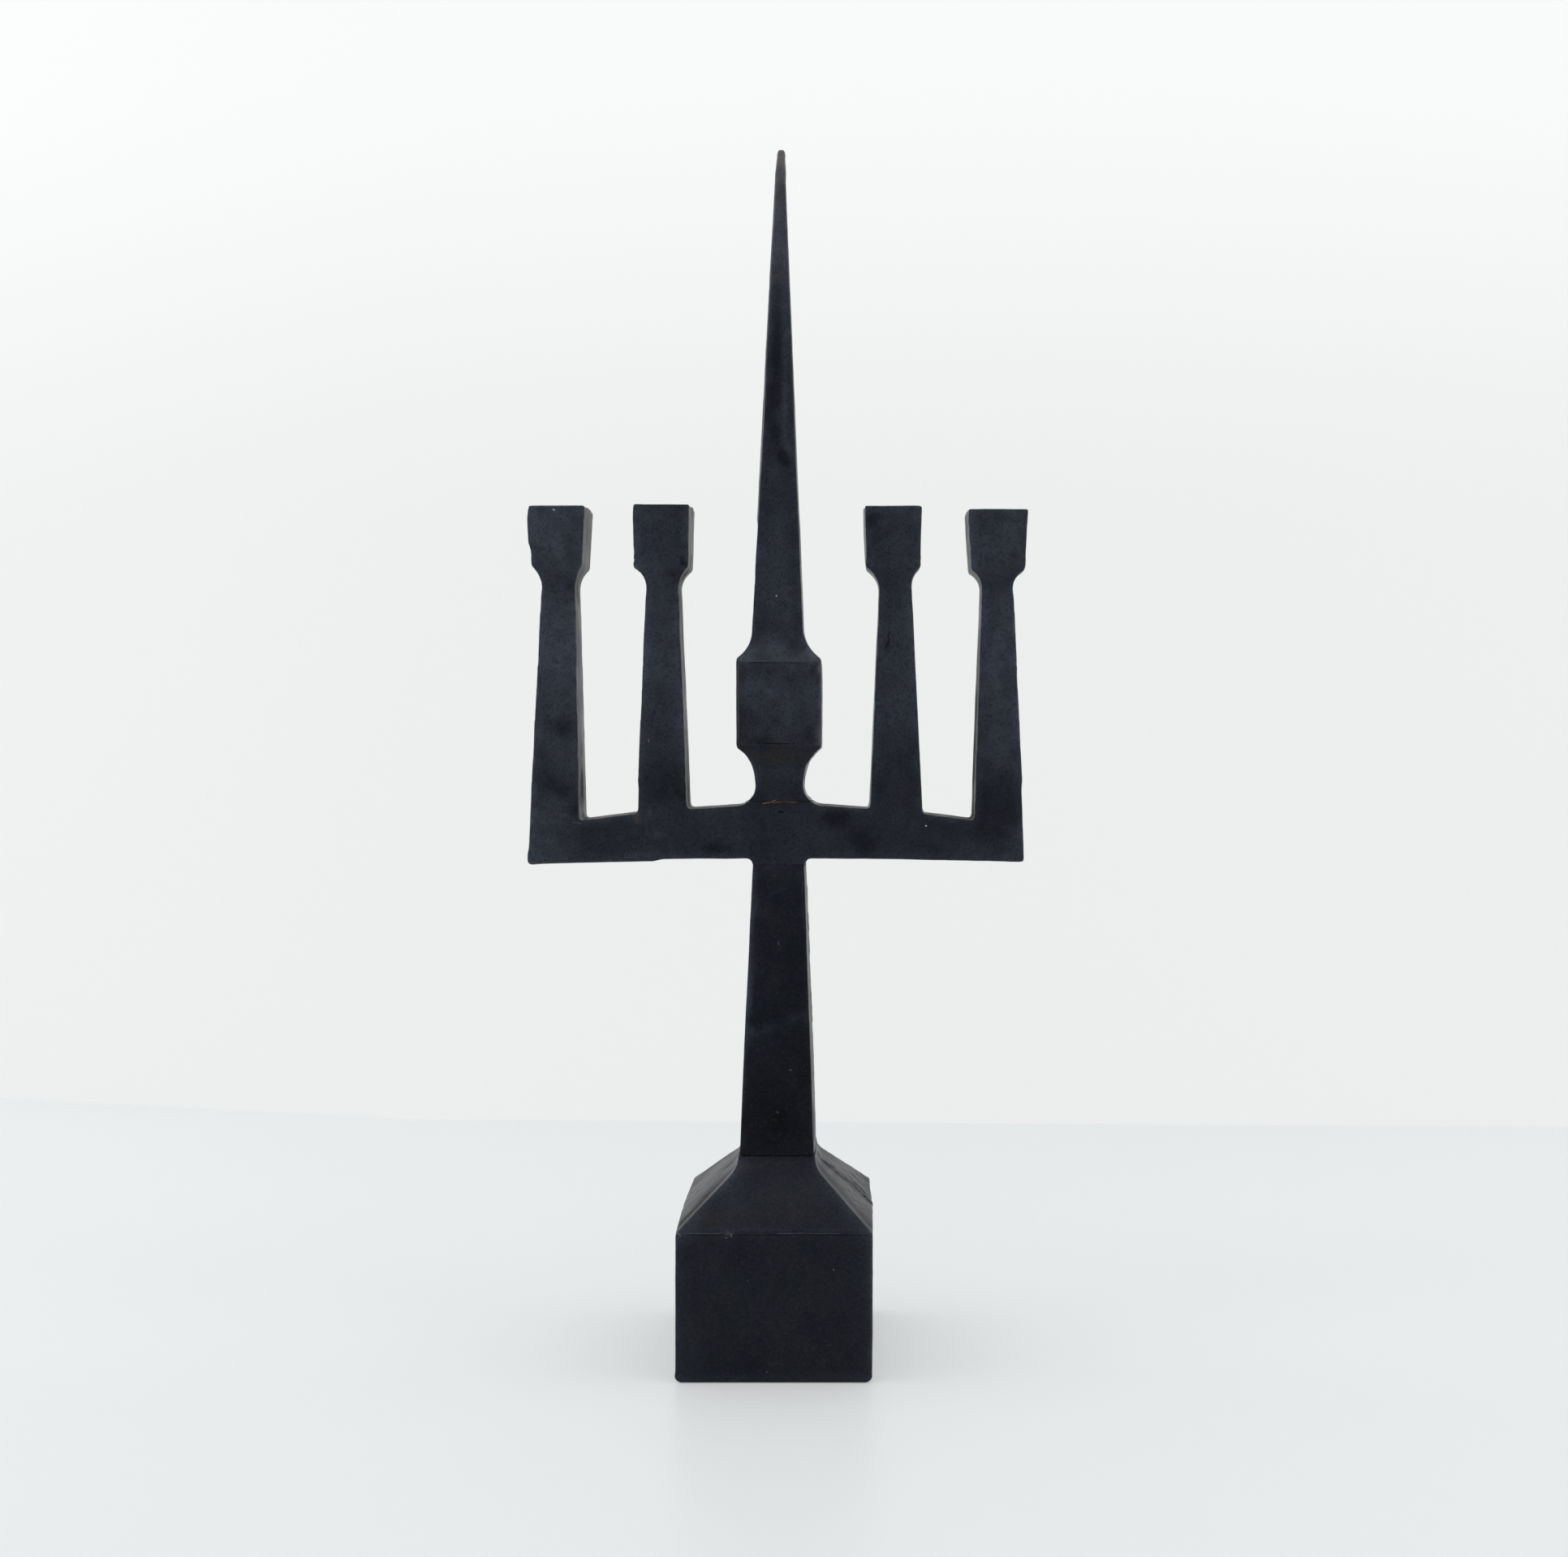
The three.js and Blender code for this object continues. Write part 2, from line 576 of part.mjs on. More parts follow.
function makeSpire() {
  const upright = mirrored(spireFrontSide()).getPoints();
  const front = new THREE.Shape(upright.map(({ x, y }) => new THREE.Vector2(x + spireAxis(y), y)));
  const extent = { draft: SPIRE_DRAFT, depth: BLOCK_DEPTH, width: BLOCK_WIDTH };
  const tappedTop = rodTopZ + TAPPED_RUNOUT;
  return casting(front, mirrored(spireDepthSide()), extent)
    .subtract(cylinder(ROD_DIAMETER / 2 + THREAD_PLAY, spireSeatZ - CUT, tappedTop))
    .subtract(dowelHole(spireSeatZ));
}

const washerTopZ = bossZ;
const springTopZ = washerTopZ - PLATE_WASHER_THICKNESS;
const nutTopZ = springTopZ - SPRING_WASHER_THICKNESS;
const nutBottomZ = nutTopZ - NUT_HEIGHT;

function makeTieRod() {
  const radius = ROD_DIAMETER / 2;
  const bottom = nutBottomZ - ROD_TAIL;
  return turned([
    [0, bottom],
    [radius - ROD_CHAMFER, bottom],
    [radius, bottom + ROD_CHAMFER],
    [radius, rodTopZ - ROD_CHAMFER],
    [radius - ROD_CHAMFER, rodTopZ],
    [0, rodTopZ],
  ]);
}

/** A flat ring round the tie rod. */
function ring(outer, inner, bottom, top) {
  return cylinder(outer, bottom, top).subtract(cylinder(inner, bottom - CUT, top + CUT));
}

function makePlateWasher() {
  return ring(PLATE_WASHER_WIDTH / 2, ROD_DIAMETER / 2 + ROD_PLAY, springTopZ, washerTopZ);
}

function makeSpringWasher() {
  const outer = SPRING_WASHER_WIDTH / 2;
  const split = SPRING_WASHER_SPLIT / 2;
  return ring(outer, ROD_DIAMETER / 2 + ROD_PLAY, nutTopZ, springTopZ).subtract(
    box([0, -split, nutTopZ - CUT], [outer + CUT, split, springTopZ + CUT]),
  );
}

function makeNut() {
  const corner = NUT_ACROSS_FLATS / Math.sqrt(3);
  const bevel = (corner - NUT_ACROSS_FLATS / 2) * Math.tan(radians(30));
  const hexagon = turned([[0, nutBottomZ], [corner, nutBottomZ], [corner, nutTopZ], [0, nutTopZ]], 0, 6);
  const chamfered = turned([
    [0, nutBottomZ],
    [NUT_ACROSS_FLATS / 2, nutBottomZ],
    [corner, nutBottomZ + bevel],
    [corner, nutTopZ - bevel],
    [NUT_ACROSS_FLATS / 2, nutTopZ],
    [0, nutTopZ],
  ]);
  return hexagon
    .intersect(chamfered)
    .subtract(cylinder(ROD_DIAMETER / 2 + THREAD_PLAY, nutBottomZ - CUT, nutTopZ + CUT));
}

/** A dowel across the seam at a height, which keeps two castings from turning on the tie rod. */
function makeDowel(seam) {
  const radius = DOWEL_DIAMETER / 2;
  return cylinder(radius, seam - DOWEL_LENGTH / 2, seam + DOWEL_LENGTH / 2, DOWEL_OFFSET);
}

const blackIron = new THREE.MeshStandardMaterial({ color: 0x2b2d33, roughness: 0.55, metalness: 0.1 });
const zincSteel = new THREE.MeshStandardMaterial({ color: 0x9a9c9e, roughness: 0.4, metalness: 1 });
const blackFelt = new THREE.MeshStandardMaterial({ color: 0x1c1c1e, roughness: 1, metalness: 0 });

const candelabra = new THREE.Group();
const pieces = [
  ["base_block", makeBaseBlock(), blackIron],
  ["base_felt", makeFelt(), blackFelt],
  ["stem", makeStem(), blackIron],
  ["candle_frame", makeCandleFrame(), blackIron],
  ["spire", makeSpire(), blackIron],
  ["tie_rod", makeTieRod(), zincSteel],
  ["tie_rod_nut", makeNut(), zincSteel],
  ["spring_washer", makeSpringWasher(), zincSteel],
  ["plate_washer", makePlateWasher(), zincSteel],
  ["stem_foot_dowel", makeDowel(stemFootZ), zincSteel],
  ["stem_head_dowel", makeDowel(stemHeadZ), zincSteel],
  ["spire_dowel", makeDowel(spireSeatZ), zincSteel],
];
for (const [name, solid, material] of pieces) {
  const mesh = new THREE.Mesh(geometryOf(solid), material);
  mesh.name = name;
  candelabra.add(mesh);
}

export default candelabra;
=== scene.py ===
"""The candelabra's looks: painted iron castings, zinc-plated fastenings and a felt pad.

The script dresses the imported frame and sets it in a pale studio. Every place is in the row's frame,
in metres, unless a name or a comment says millimetres, which are turned into metres in use.
"""

from __future__ import annotations

import json
import logging
import math
from dataclasses import dataclass
from enum import Enum
from itertools import product

import bmesh
import bpy
import numpy as np
from bpy.types import Material, Mesh, Node, NodeSocket as Socket, NodeTree, Object
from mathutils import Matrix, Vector
from mathutils.bvhtree import BVHTree
from mathutils.kdtree import KDTree


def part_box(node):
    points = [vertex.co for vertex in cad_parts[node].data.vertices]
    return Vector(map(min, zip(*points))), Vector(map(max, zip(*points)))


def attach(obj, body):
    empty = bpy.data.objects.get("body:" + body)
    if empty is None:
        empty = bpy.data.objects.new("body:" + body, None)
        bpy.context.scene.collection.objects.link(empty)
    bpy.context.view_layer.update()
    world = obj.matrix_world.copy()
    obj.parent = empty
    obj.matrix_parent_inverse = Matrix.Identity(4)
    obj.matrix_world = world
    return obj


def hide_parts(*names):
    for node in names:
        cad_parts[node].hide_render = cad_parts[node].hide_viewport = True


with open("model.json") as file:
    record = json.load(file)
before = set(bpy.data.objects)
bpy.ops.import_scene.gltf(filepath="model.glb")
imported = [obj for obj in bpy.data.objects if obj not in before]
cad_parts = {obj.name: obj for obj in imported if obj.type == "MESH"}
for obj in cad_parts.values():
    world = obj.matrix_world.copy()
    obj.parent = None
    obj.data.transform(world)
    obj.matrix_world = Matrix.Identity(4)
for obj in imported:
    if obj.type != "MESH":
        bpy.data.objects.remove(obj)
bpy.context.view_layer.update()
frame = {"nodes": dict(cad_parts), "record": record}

log = logging.getLogger("candelabra")

MM = 0.001
ROOT = "root"
BORED = ("tie_rod", "stem_foot_dowel", "stem_head_dowel", "spire_dowel")
SEAM_ANGLE = math.radians(55)

Colour = tuple[float, float, float]
Place = tuple[float, float, float]


class Slot(Enum):
    """The record's material slots."""

    IRON = "black_iron"
    STEEL = "zinc_steel"
    FELT = "felt"


class Side(Enum):
    """The two sides of a casting that show its parting line, as the sign of their x."""

    LEFT = -1
    RIGHT = 1


# Mesh tools


class Noise:
    """Smooth noise from a lattice of fixed values, the same at every run."""

    MASK = 0xFFFFFFFF
    PRIMES = np.array([374761393, 668265263, 2147483629])
    SCRAMBLES = ((13, 1274126177), (15, 2246822519))
    SEED_STEP = 97
    SEED_SHIFT = 0.37

    def __init__(self, seed: int) -> None:
        """Keeps the seed, any whole number, that tells this noise from others."""
        self.seed = seed

    def _lattice(self, cell: np.ndarray) -> np.ndarray:
        """Returns a fixed value from -1 to 1 for each lattice cell.

        Args:
            cell: whole-number cells, one row each.

        Returns:
            One value per row.
        """
        mixed = (cell @ self.PRIMES + self.seed * self.SEED_STEP) & self.MASK
        for shift, factor in self.SCRAMBLES:
            mixed = ((mixed ^ (mixed >> shift)) * factor) & self.MASK
        return ((mixed ^ (mixed >> 16)) & 0xFFFF) / 32767.5 - 1.0

    def at(self, points: np.ndarray, wavelength: float) -> np.ndarray:
        """Returns the noise at points.

        Args:
            points: places, one row each.
            wavelength: size of a lattice cell, in the unit of the points.

        Returns:
            One value from -1 to 1 per row.
        """
        scaled = points / wavelength + self.SEED_SHIFT * self.seed
        cell = np.floor(scaled).astype(np.int64)
        share = scaled - cell
        share = share * share * share * (share * (share * 6 - 15) + 10)
        values = np.zeros(len(points))
        for corner in product((0, 1), repeat=3):
            weight = np.prod(np.where(np.array(corner) == 1, share, 1 - share), axis=1)
            values += weight * self._lattice(cell + np.array(corner))
        return values


# Seed, wavelength and height of some noises
Layers = tuple[tuple[int, float, float], ...]


def layered(points: np.ndarray, layers: Layers, start: float = 0.0) -> np.ndarray:
    """Adds the noises up at points, in the unit of the points, and to start."""
    noises = (Noise(seed).at(points, wave) * height for seed, wave, height in layers)
    return sum(noises, np.full(len(points), start))


class Skin:
    """The vertices of a dense mesh, which can be softened, dented and roughened."""

    EDGE_GAIN = 4
    GRAZING = 0.05

    def __init__(self, mesh: Mesh) -> None:
        """Reads the mesh.

        Args:
            mesh: the mesh to work on, which store() writes back to.
        """
        self.mesh = mesh
        self.points = self._read("vertices", "co")
        pairs = np.empty(len(mesh.edges) * 2, np.int64)
        mesh.edges.foreach_get("vertices", pairs)
        self.ends = pairs.reshape(-1, 2)
        self.degree = np.bincount(self.ends.ravel(), minlength=len(self.points)).astype(float)

    def _read(self, items: str, name: str) -> np.ndarray:
        """Reads a vector property of the mesh.

        Args:
            items: what has the property, such as vertices.
            name: its name.

        Returns:
            Rows of three.
        """
        values = np.empty(len(getattr(self.mesh, items)) * 3, np.float32)
        getattr(self.mesh, items).foreach_get(name, values)
        return values.reshape(-1, 3).astype(float)

    def store(self) -> None:
        """Writes the points back to the mesh."""
        self.mesh.vertices.foreach_set("co", self.points.astype(np.float32).ravel())
        self.mesh.update()

    def normals(self) -> np.ndarray:
        """Returns the vertex normals of the points as they are now."""
        self.store()
        return self._read("vertices", "normal")

    def neighbour_mean(self, values: np.ndarray) -> np.ndarray:
        """Returns for each vertex the mean of its neighbours' values.

        Args:
            values: one value, or one row, per vertex.

        Returns:
            Means in the same layout.
        """
        first, second = self.ends.T
        columns = np.atleast_2d(values.T)
        sums = [
            np.bincount(first, column[second], len(self.points))
            + np.bincount(second, column[first], len(self.points))
            for column in columns
        ]
        return (np.array(sums) / self.degree).T.reshape(values.shape)

    def soften(self, rounds: int, share: np.ndarray) -> None:
        """Rounds the edges: each vertex moves towards its neighbours, as freely as its share."""
        for _ in range(rounds):
            self.points += 0.5 * share[:, None] * (self.neighbour_mean(self.points) - self.points)

    def spread(self, values: np.ndarray, rounds: int) -> np.ndarray:
        """Spreads values over the neighbourhood of each vertex.

        Args:
            values: one value per vertex.
            rounds: how often.

        Returns:
            The spread values.
        """
        for _ in range(rounds):
            values = (values + self.neighbour_mean(values)) / 2
        return values

    def convexity(self) -> np.ndarray:
        """Works out how sharply the surface bends outwards.

        Returns:
            One value per vertex, about 0 on a flat and 1 on a fresh edge.
        """
        normals = self.normals()
        away = self.points - self.neighbour_mean(self.points)
        first, second = self.ends.T
        pitch = np.linalg.norm(self.points[first] - self.points[second], axis=1).mean()
        return np.einsum("ij,ij->i", away, normals) / pitch * self.EDGE_GAIN

    def push(self, amounts: np.ndarray, directions: np.ndarray) -> None:
        """Moves each vertex by its amount, in metres, along its direction."""
        self.points += amounts[:, None] * directions

    def room(self, low: Vector, high: Vector, directions: np.ndarray) -> np.ndarray:
        """Returns how far each vertex can move along its direction before it leaves a box."""
        ahead = np.where(directions > 0, np.array(high) - self.points, self.points - np.array(low))
        return (np.maximum(ahead, 0.0) / np.maximum(np.abs(directions), self.GRAZING)).min(axis=1)

    def keep_in(self, low: Vector, high: Vector) -> None:
        """Holds the points inside a box, given by its corners."""
        self.points = np.clip(self.points, np.array(low), np.array(high))

    def attribute(self, name: str, values: np.ndarray) -> None:
        """Stores one number per vertex for the materials to read."""
        layer = self.mesh.attributes.new(name, "FLOAT", "POINT")
        layer.data.foreach_set("value", values.astype(np.float32))


def add_piece(name: str, mesh: Mesh) -> Object:
    """Links a new object that holds a mesh.

    Args:
        name: the piece's name.
        mesh: its mesh.

    Returns:
        The object.
    """
    mesh.name = name
    piece = bpy.data.objects.new(name, mesh)
    bpy.context.scene.collection.objects.link(piece)
    return piece


@dataclass(frozen=True)
class CadShape:
    """A CAD node's shape, which can be made again as an even mesh of small quads.

    The last four numbers are distances in shares of the quads' size.
    """

    node: str
    sharp_angle: float = math.radians(25)
    spacing: float = 0.2 * MM
    snap: float = 0.55
    seam_snap: float = 0.85
    merge: float = 0.3
    sliver: float = 0.05

    def even_quads(self, name: str, pitch: float, seams: tuple[float, ...] = ()) -> Object:
        """Makes the shape again from small quads that lie on it, with a row along every sharp edge.

        Args:
            name: name of the new object.
            pitch: size of the quads.
            seams: heights of the joints with other castings, where no edge may be cut short.

        Returns:
            The new object. The CAD node isn't changed.
        """
        shape = bmesh.new()
        shape.from_mesh(frame["nodes"][self.node].data)
        bmesh.ops.remove_doubles(shape, verts=shape.verts, dist=1e-6)
        edges = self._sharp_places(shape)
        surface = BVHTree.FromBMesh(shape)
        welded = bpy.data.meshes.new(name)
        shape.to_mesh(welded)
        shape.free()
        rough = add_piece(name, welded)
        modifier = rough.modifiers.new("even quads", "REMESH")
        modifier.mode = "VOXEL"
        modifier.voxel_size = pitch
        modifier.use_smooth_shade = True
        graph = bpy.context.evaluated_depsgraph_get()
        even = bpy.data.meshes.new_from_object(rough.evaluated_get(graph))
        bpy.data.objects.remove(rough)
        bpy.data.meshes.remove(welded)
        self._settle(even, surface, edges, pitch, seams)
        return add_piece(name, even)

    def _sharp_places(self, shape: bmesh.types.BMesh) -> KDTree:
        """Finds the shape's sharp edges.

        Args:
            shape: a welded mesh.

        Returns:
            Closely spaced places along them.
        """
        places = []
        for edge in shape.edges:
            if len(edge.link_faces) == 2 and edge.calc_face_angle() > self.sharp_angle:
                start, end = (vertex.co for vertex in edge.verts)
                steps = max(1, round((end - start).length / self.spacing))
                places.extend(start.lerp(end, step / steps) for step in range(steps + 1))
        tree = KDTree(len(places))
        for number, place in enumerate(places):
            tree.insert(place, number)
        tree.balance()
        return tree

    def _settle(
        self,
        mesh: Mesh,
        surface: BVHTree,
        edges: KDTree,
        pitch: float,
        seams: tuple[float, ...],
    ) -> None:
        """Moves the vertices onto a surface, and those near a sharp edge onto the edge.

        Args:
            mesh: the mesh to move.
            surface: the surface.
            edges: places along its sharp edges.
            pitch: the mesh's spacing.
            seams: heights where a place further from an edge counts as near, too.
        """
        for vertex in mesh.vertices:
            place, _, distance = edges.find(vertex.co)
            at_seam = any(abs(vertex.co.z - seam) < pitch for seam in seams)
            if distance >= (self.seam_snap if at_seam else self.snap) * pitch:
                place = surface.find_nearest(vertex.co)[0]
            vertex.co = place
        merged = bmesh.new()
        merged.from_mesh(mesh)
        bmesh.ops.remove_doubles(merged, verts=merged.verts, dist=self.merge * pitch)
        bmesh.ops.dissolve_degenerate(merged, edges=merged.edges, dist=self.sliver * pitch)
        merged.to_mesh(mesh)
        merged.free()


# Shader tools


class Graph:
    """Adds nodes to a node tree and links them, so that a network reads as a formula."""

    def __init__(self, tree: NodeTree) -> None:
        """Keeps a material's or a group's node tree."""
        self.tree = tree

    def add(self, kind: str, inputs: dict | None = None, **settings: object) -> Node:
        """Adds a node.

        Args:
            kind: its type, without ShaderNode.
            inputs: values or other nodes' sockets that go into its own, by name or number.
            **settings: its properties.

        Returns:
            The node.
        """
        prefix = "" if kind.startswith("NodeGroup") else "ShaderNode"
        node = self.tree.nodes.new(prefix + kind)
        for name, value in settings.items():
            setattr(node, name, value)
        for key, value in (inputs or {}).items():
            self.feed(node.inputs[key], value)
        return node

    def feed(self, socket: Socket, value: object) -> None:
        """Links a socket to another one, or sets its value.

        Args:
            socket: the input.
            value: a socket to link from, or a plain value.
        """
        if isinstance(value, Socket):
            self.tree.links.new(value, socket)
        else:
            socket.default_value = value

    def maths(
        self, operation: str, first: object, second: object = 0.0, third: object = 0.0
    ) -> Socket:
        """Adds a Math node, fed by values or sockets, and returns its result."""
        node = self.add("Math", {0: first, 1: second, 2: third}, operation=operation)
        return node.outputs[0]

    def vector(self, operation: str, first: object, second: object) -> Node:
        """Adds a Vector Math node and returns it, as it may give a vector or a value."""
        return self.add("VectorMath", {0: first, 1: second}, operation=operation)

    def ramp(self, value: object, low: float, high: float) -> Socket:
        """Maps a value or socket smoothly onto 0 to 1, where low becomes 0 and high becomes 1."""
        inputs = {"Value": value, "From Min": low, "From Max": high}
        return self.add("MapRange", inputs, interpolation_type="SMOOTHSTEP").outputs["Result"]

    def mix(self, share: object, first: object, second: object) -> Socket:
        """Mixes two colours.

        Args:
            share: 0 for the first and 1 for the second, as a value or socket.
            first: colour or socket.
            second: colour or socket.

        Returns:
            The output socket.
        """
        node = self.add("Mix", data_type="RGBA")
        self.feed(node.inputs[0], share)
        self.feed(node.inputs[6], first if isinstance(first, Socket) else (*first, 1.0))
        self.feed(node.inputs[7], second if isinstance(second, Socket) else (*second, 1.0))
        return node.outputs[2]

    def noise(self, wavelength_mm: float, detail: float = 2.0, offset: float = 0.0) -> Socket:
        """Adds noise in the object's own space, from 0 to 1.

        Args:
            wavelength_mm: size of its features, in millimetres.
            detail: octaves.
            offset: shifts it, so that two noises differ.

        Returns:
            The output socket.
        """
        place = self.add("TexCoord").outputs["Object"]
        moved = self.vector("ADD", place, (offset, offset, offset)).outputs[0]
        scale = 1 / (wavelength_mm * MM)
        inputs = {"Vector": moved, "Scale": scale, "Detail": detail}
        return self.add("TexNoise", inputs).outputs["Fac"]

    def clamp(self, value: object) -> Socket:
        """Holds a value or socket between 0 and 1."""
        return self.add("Clamp", {"Value": value}).outputs[0]

    def attribute(self, name: str) -> Socket:
        """Reads one of the numbers that the mesh holds for each vertex."""
        return self.add("Attribute", attribute_name=name).outputs["Fac"]

    def bump(self, shader: Node, height: object, strength: float, depth_mm: float) -> None:
        """Bends a shader's normals by a height that stands for a depth in millimetres."""
        inputs = {"Strength": strength, "Distance": depth_mm * MM, "Height": height}
        self.feed(shader.inputs["Normal"], self.add("Bump", inputs).outputs["Normal"])

    def group(self, tree: NodeTree, **values: object) -> Node:
        """Places a shared node group.

        Args:
            tree: the group.
            **values: what goes into its sockets, with _ for a space in their names.

        Returns:
            The node.
        """
        node = self.tree.nodes.new("ShaderNodeGroup")
        node.node_tree = tree
        for key, value in values.items():
            self.feed(node.inputs[key.replace("_", " ")], value)
        return node


class SocketKind(Enum):
    """What a node group's socket carries."""

    VALUE = "NodeSocketFloat"
    PLACE = "NodeSocketVector"


class SharedEffects:
    """The node groups that more than one material uses, each built once."""

    def __init__(self) -> None:
        """Builds the groups."""
        self.grain = self._grain()
        self.wear = self._wear()
        self.dust = self._dust()
        self.stroke = self._stroke()

    @staticmethod
    def _start(
        name: str, inputs: dict[str, tuple[SocketKind, object]], outputs: tuple[str, ...]
    ) -> tuple[Graph, Node, Node]:
        """Makes an empty group.

        Args:
            name: the group's name.
            inputs: kind and default of each input, by name.
            outputs: names of its outputs, all values.

        Returns:
            The graph, the node that holds the inputs and the one that takes the outputs.
        """
        tree = bpy.data.node_groups.new(name, "ShaderNodeTree")
        for label, (kind, default) in inputs.items():
            socket = tree.interface.new_socket(label, in_out="INPUT", socket_type=kind.value)
            socket.default_value = default
        for label in outputs:
            tree.interface.new_socket(label, in_out="OUTPUT", socket_type=SocketKind.VALUE.value)
        graph = Graph(tree)
        return graph, graph.add("NodeGroupInput"), graph.add("NodeGroupOutput")

    def _grain(self) -> NodeTree:
        """Builds the grain of a surface: fine lumps with small pits, of a given size.

        Returns:
            The group.
        """
        graph, given, result = self._start(
            "surface_grain",
            {"Size mm": (SocketKind.VALUE, 1.0), "Pits": (SocketKind.VALUE, 0.5)},
            ("Height", "Pitting"),
        )
        place = graph.add("TexCoord").outputs["Object"]
        scale = graph.maths("DIVIDE", 1 / MM, given.outputs["Size mm"])
        inputs = {"Vector": place, "Scale": scale, "Detail": 3.0, "Roughness": 0.6}
        lumps = graph.add("TexNoise", inputs)
        wide = graph.maths("MULTIPLY", scale, 0.45)
        cells = graph.add("TexVoronoi", {"Vector": place, "Scale": wide, "Randomness": 1.0})
        hollow = graph.ramp(cells.outputs["Distance"], 0.28, 0.12)
        rare = graph.ramp(graph.noise(9.0, 2.0, 0.3), 0.5, 0.7)
        pits = graph.maths("MULTIPLY", graph.maths("MULTIPLY", hollow, rare), given.outputs["Pits"])
        graph.feed(result.inputs["Height"], graph.maths("SUBTRACT", lumps.outputs["Fac"], pits))
        graph.feed(result.inputs["Pitting"], pits)
        return graph.tree

    def _wear(self) -> NodeTree:
        """Shows where edges are rubbed: the mesh's own edge attribute, broken up by noise.

        Returns:
            The group.
        """
        graph, given, result = self._start(
            "edge_wear",
            {"Reach": (SocketKind.VALUE, 0.5), "Breakup mm": (SocketKind.VALUE, 4.0)},
            ("Rubbed",),
        )
        edge = graph.attribute("edge")
        place = graph.add("TexCoord").outputs["Object"]
        scale = graph.maths("DIVIDE", 1 / MM, given.outputs["Breakup mm"])
        inputs = {"Vector": place, "Scale": scale, "Detail": 4.0}
        patches = graph.add("TexNoise", inputs).outputs["Fac"]
        short = graph.maths("SUBTRACT", 1.0, given.outputs["Reach"])
        broken = graph.maths("MULTIPLY", edge, graph.ramp(patches, 0.38, 0.68))
        graph.feed(result.inputs["Rubbed"], graph.ramp(broken, short, 1.0))
        return graph.tree

    def _dust(self) -> NodeTree:
        """Shows where dust settles: on what faces up, more in patches.

        Returns:
            The group.
        """
        graph, given, result = self._start(
            "settled_dust",
            {"Amount": (SocketKind.VALUE, 0.5)},
            ("Film",),
        )
        normal = graph.add("NewGeometry").outputs["Normal"]
        upwards = graph.add("SeparateXYZ", {0: normal}).outputs["Z"]
        film = graph.ramp(upwards, 0.9, 1.0)
        patches = graph.ramp(graph.noise(6.0, 5.0, 0.7), 0.3, 0.75)
        shaded = graph.maths("MULTIPLY", film, graph.maths("MULTIPLY_ADD", patches, 0.7, 0.3))
        graph.feed(result.inputs["Film"], graph.maths("MULTIPLY", shaded, given.outputs["Amount"]))
        return graph.tree

    def _stroke(self) -> NodeTree:
        """Draws a short mark on the front, from place to place, with a ragged edge.

        Returns:
            The group.
        """
        graph, given, result = self._start(
            "front_stroke",
            {
                "Start": (SocketKind.PLACE, (0.0, 0.0, 0.0)),
                "End": (SocketKind.PLACE, (0.0, 0.0, 0.0)),
                "Width mm": (SocketKind.VALUE, 0.5),
                "Raggedness": (SocketKind.VALUE, 0.5),
            },
            ("Stroke",),
        )
        place = graph.add("TexCoord").outputs["Object"]
        flat = graph.vector("MULTIPLY", place, (1.0, 0.0, 1.0)).outputs[0]
        run = graph.vector("SUBTRACT", given.outputs["End"], given.outputs["Start"]).outputs[0]
        away = graph.vector("SUBTRACT", flat, given.outputs["Start"]).outputs[0]
        square = graph.vector("DOT_PRODUCT", run, run).outputs["Value"]
        along = graph.vector("DOT_PRODUCT", away, run).outputs["Value"]
        along = graph.maths("DIVIDE", along, graph.maths("MAXIMUM", square, 1e-12))
        held = {0: run, "Scale": graph.clamp(along)}
        nearest = graph.add("VectorMath", held, operation="SCALE").outputs[0]
        distance = graph.vector("DISTANCE", away, nearest).outputs["Value"]
        half = graph.maths("MULTIPLY", given.outputs["Width mm"], MM / 2)
        ragged = graph.maths("MULTIPLY", half, given.outputs["Raggedness"])
        inner = graph.maths("MULTIPLY", ragged, 0.55)
        edge = graph.add("MapRange", {"Value": distance, "From Min": ragged, "From Max": inner})
        front = graph.ramp(graph.add("SeparateXYZ", {0: place}).outputs["Y"], -0.004, -0.006)
        graph.feed(result.inputs["Stroke"], graph.maths("MULTIPLY", edge.outputs["Result"], front))
        return graph.tree


# Finishes


def start_material(name: str) -> tuple[Material, Graph, Node]:
    """Makes a material.

    Args:
        name: its name.

    Returns:
        The material, its graph and its Principled shader.
    """
    material = bpy.data.materials.new(name)
    material.use_nodes = True
    return material, Graph(material.node_tree), material.node_tree.nodes["Principled BSDF"]


RUST: Colour = (0.33, 0.15, 0.07)
BARE: Colour = (0.50, 0.50, 0.50)
GREY: Colour = (0.10, 0.10, 0.10)
# Painted highlights along edges, and small pale specks.
HIGHLIGHT_AND_SPECK: Colour = (0.060, 0.064, 0.072)
# Painted shade and painted shadow lines, and dark stains.
SHADE_AND_STAIN: Colour = (0.002, 0.002, 0.002)


@dataclass(frozen=True)
class Stroke:
    """A mark on a casting's front, in millimetres: its ends in x and z, its width and colour."""

    start: tuple[float, float]
    end: tuple[float, float]
    width: float
    colour: Colour

    def mask(self, graph: Graph, effects: SharedEffects, ragged: Socket) -> Socket:
        """Places the mark in a material.

        Args:
            graph: the material's graph.
            effects: the shared node groups.
            ragged: how far the mark's edge is from its middle, as a share of half its width.

        Returns:
            The mark's mask.
        """
        start, end = ((x * MM, 0.0, z * MM) for x, z in (self.start, self.end))
        line = {"Start": start, "End": end, "Width_mm": self.width, "Raggedness": ragged}
        return graph.group(effects.stroke, **line).outputs["Stroke"]
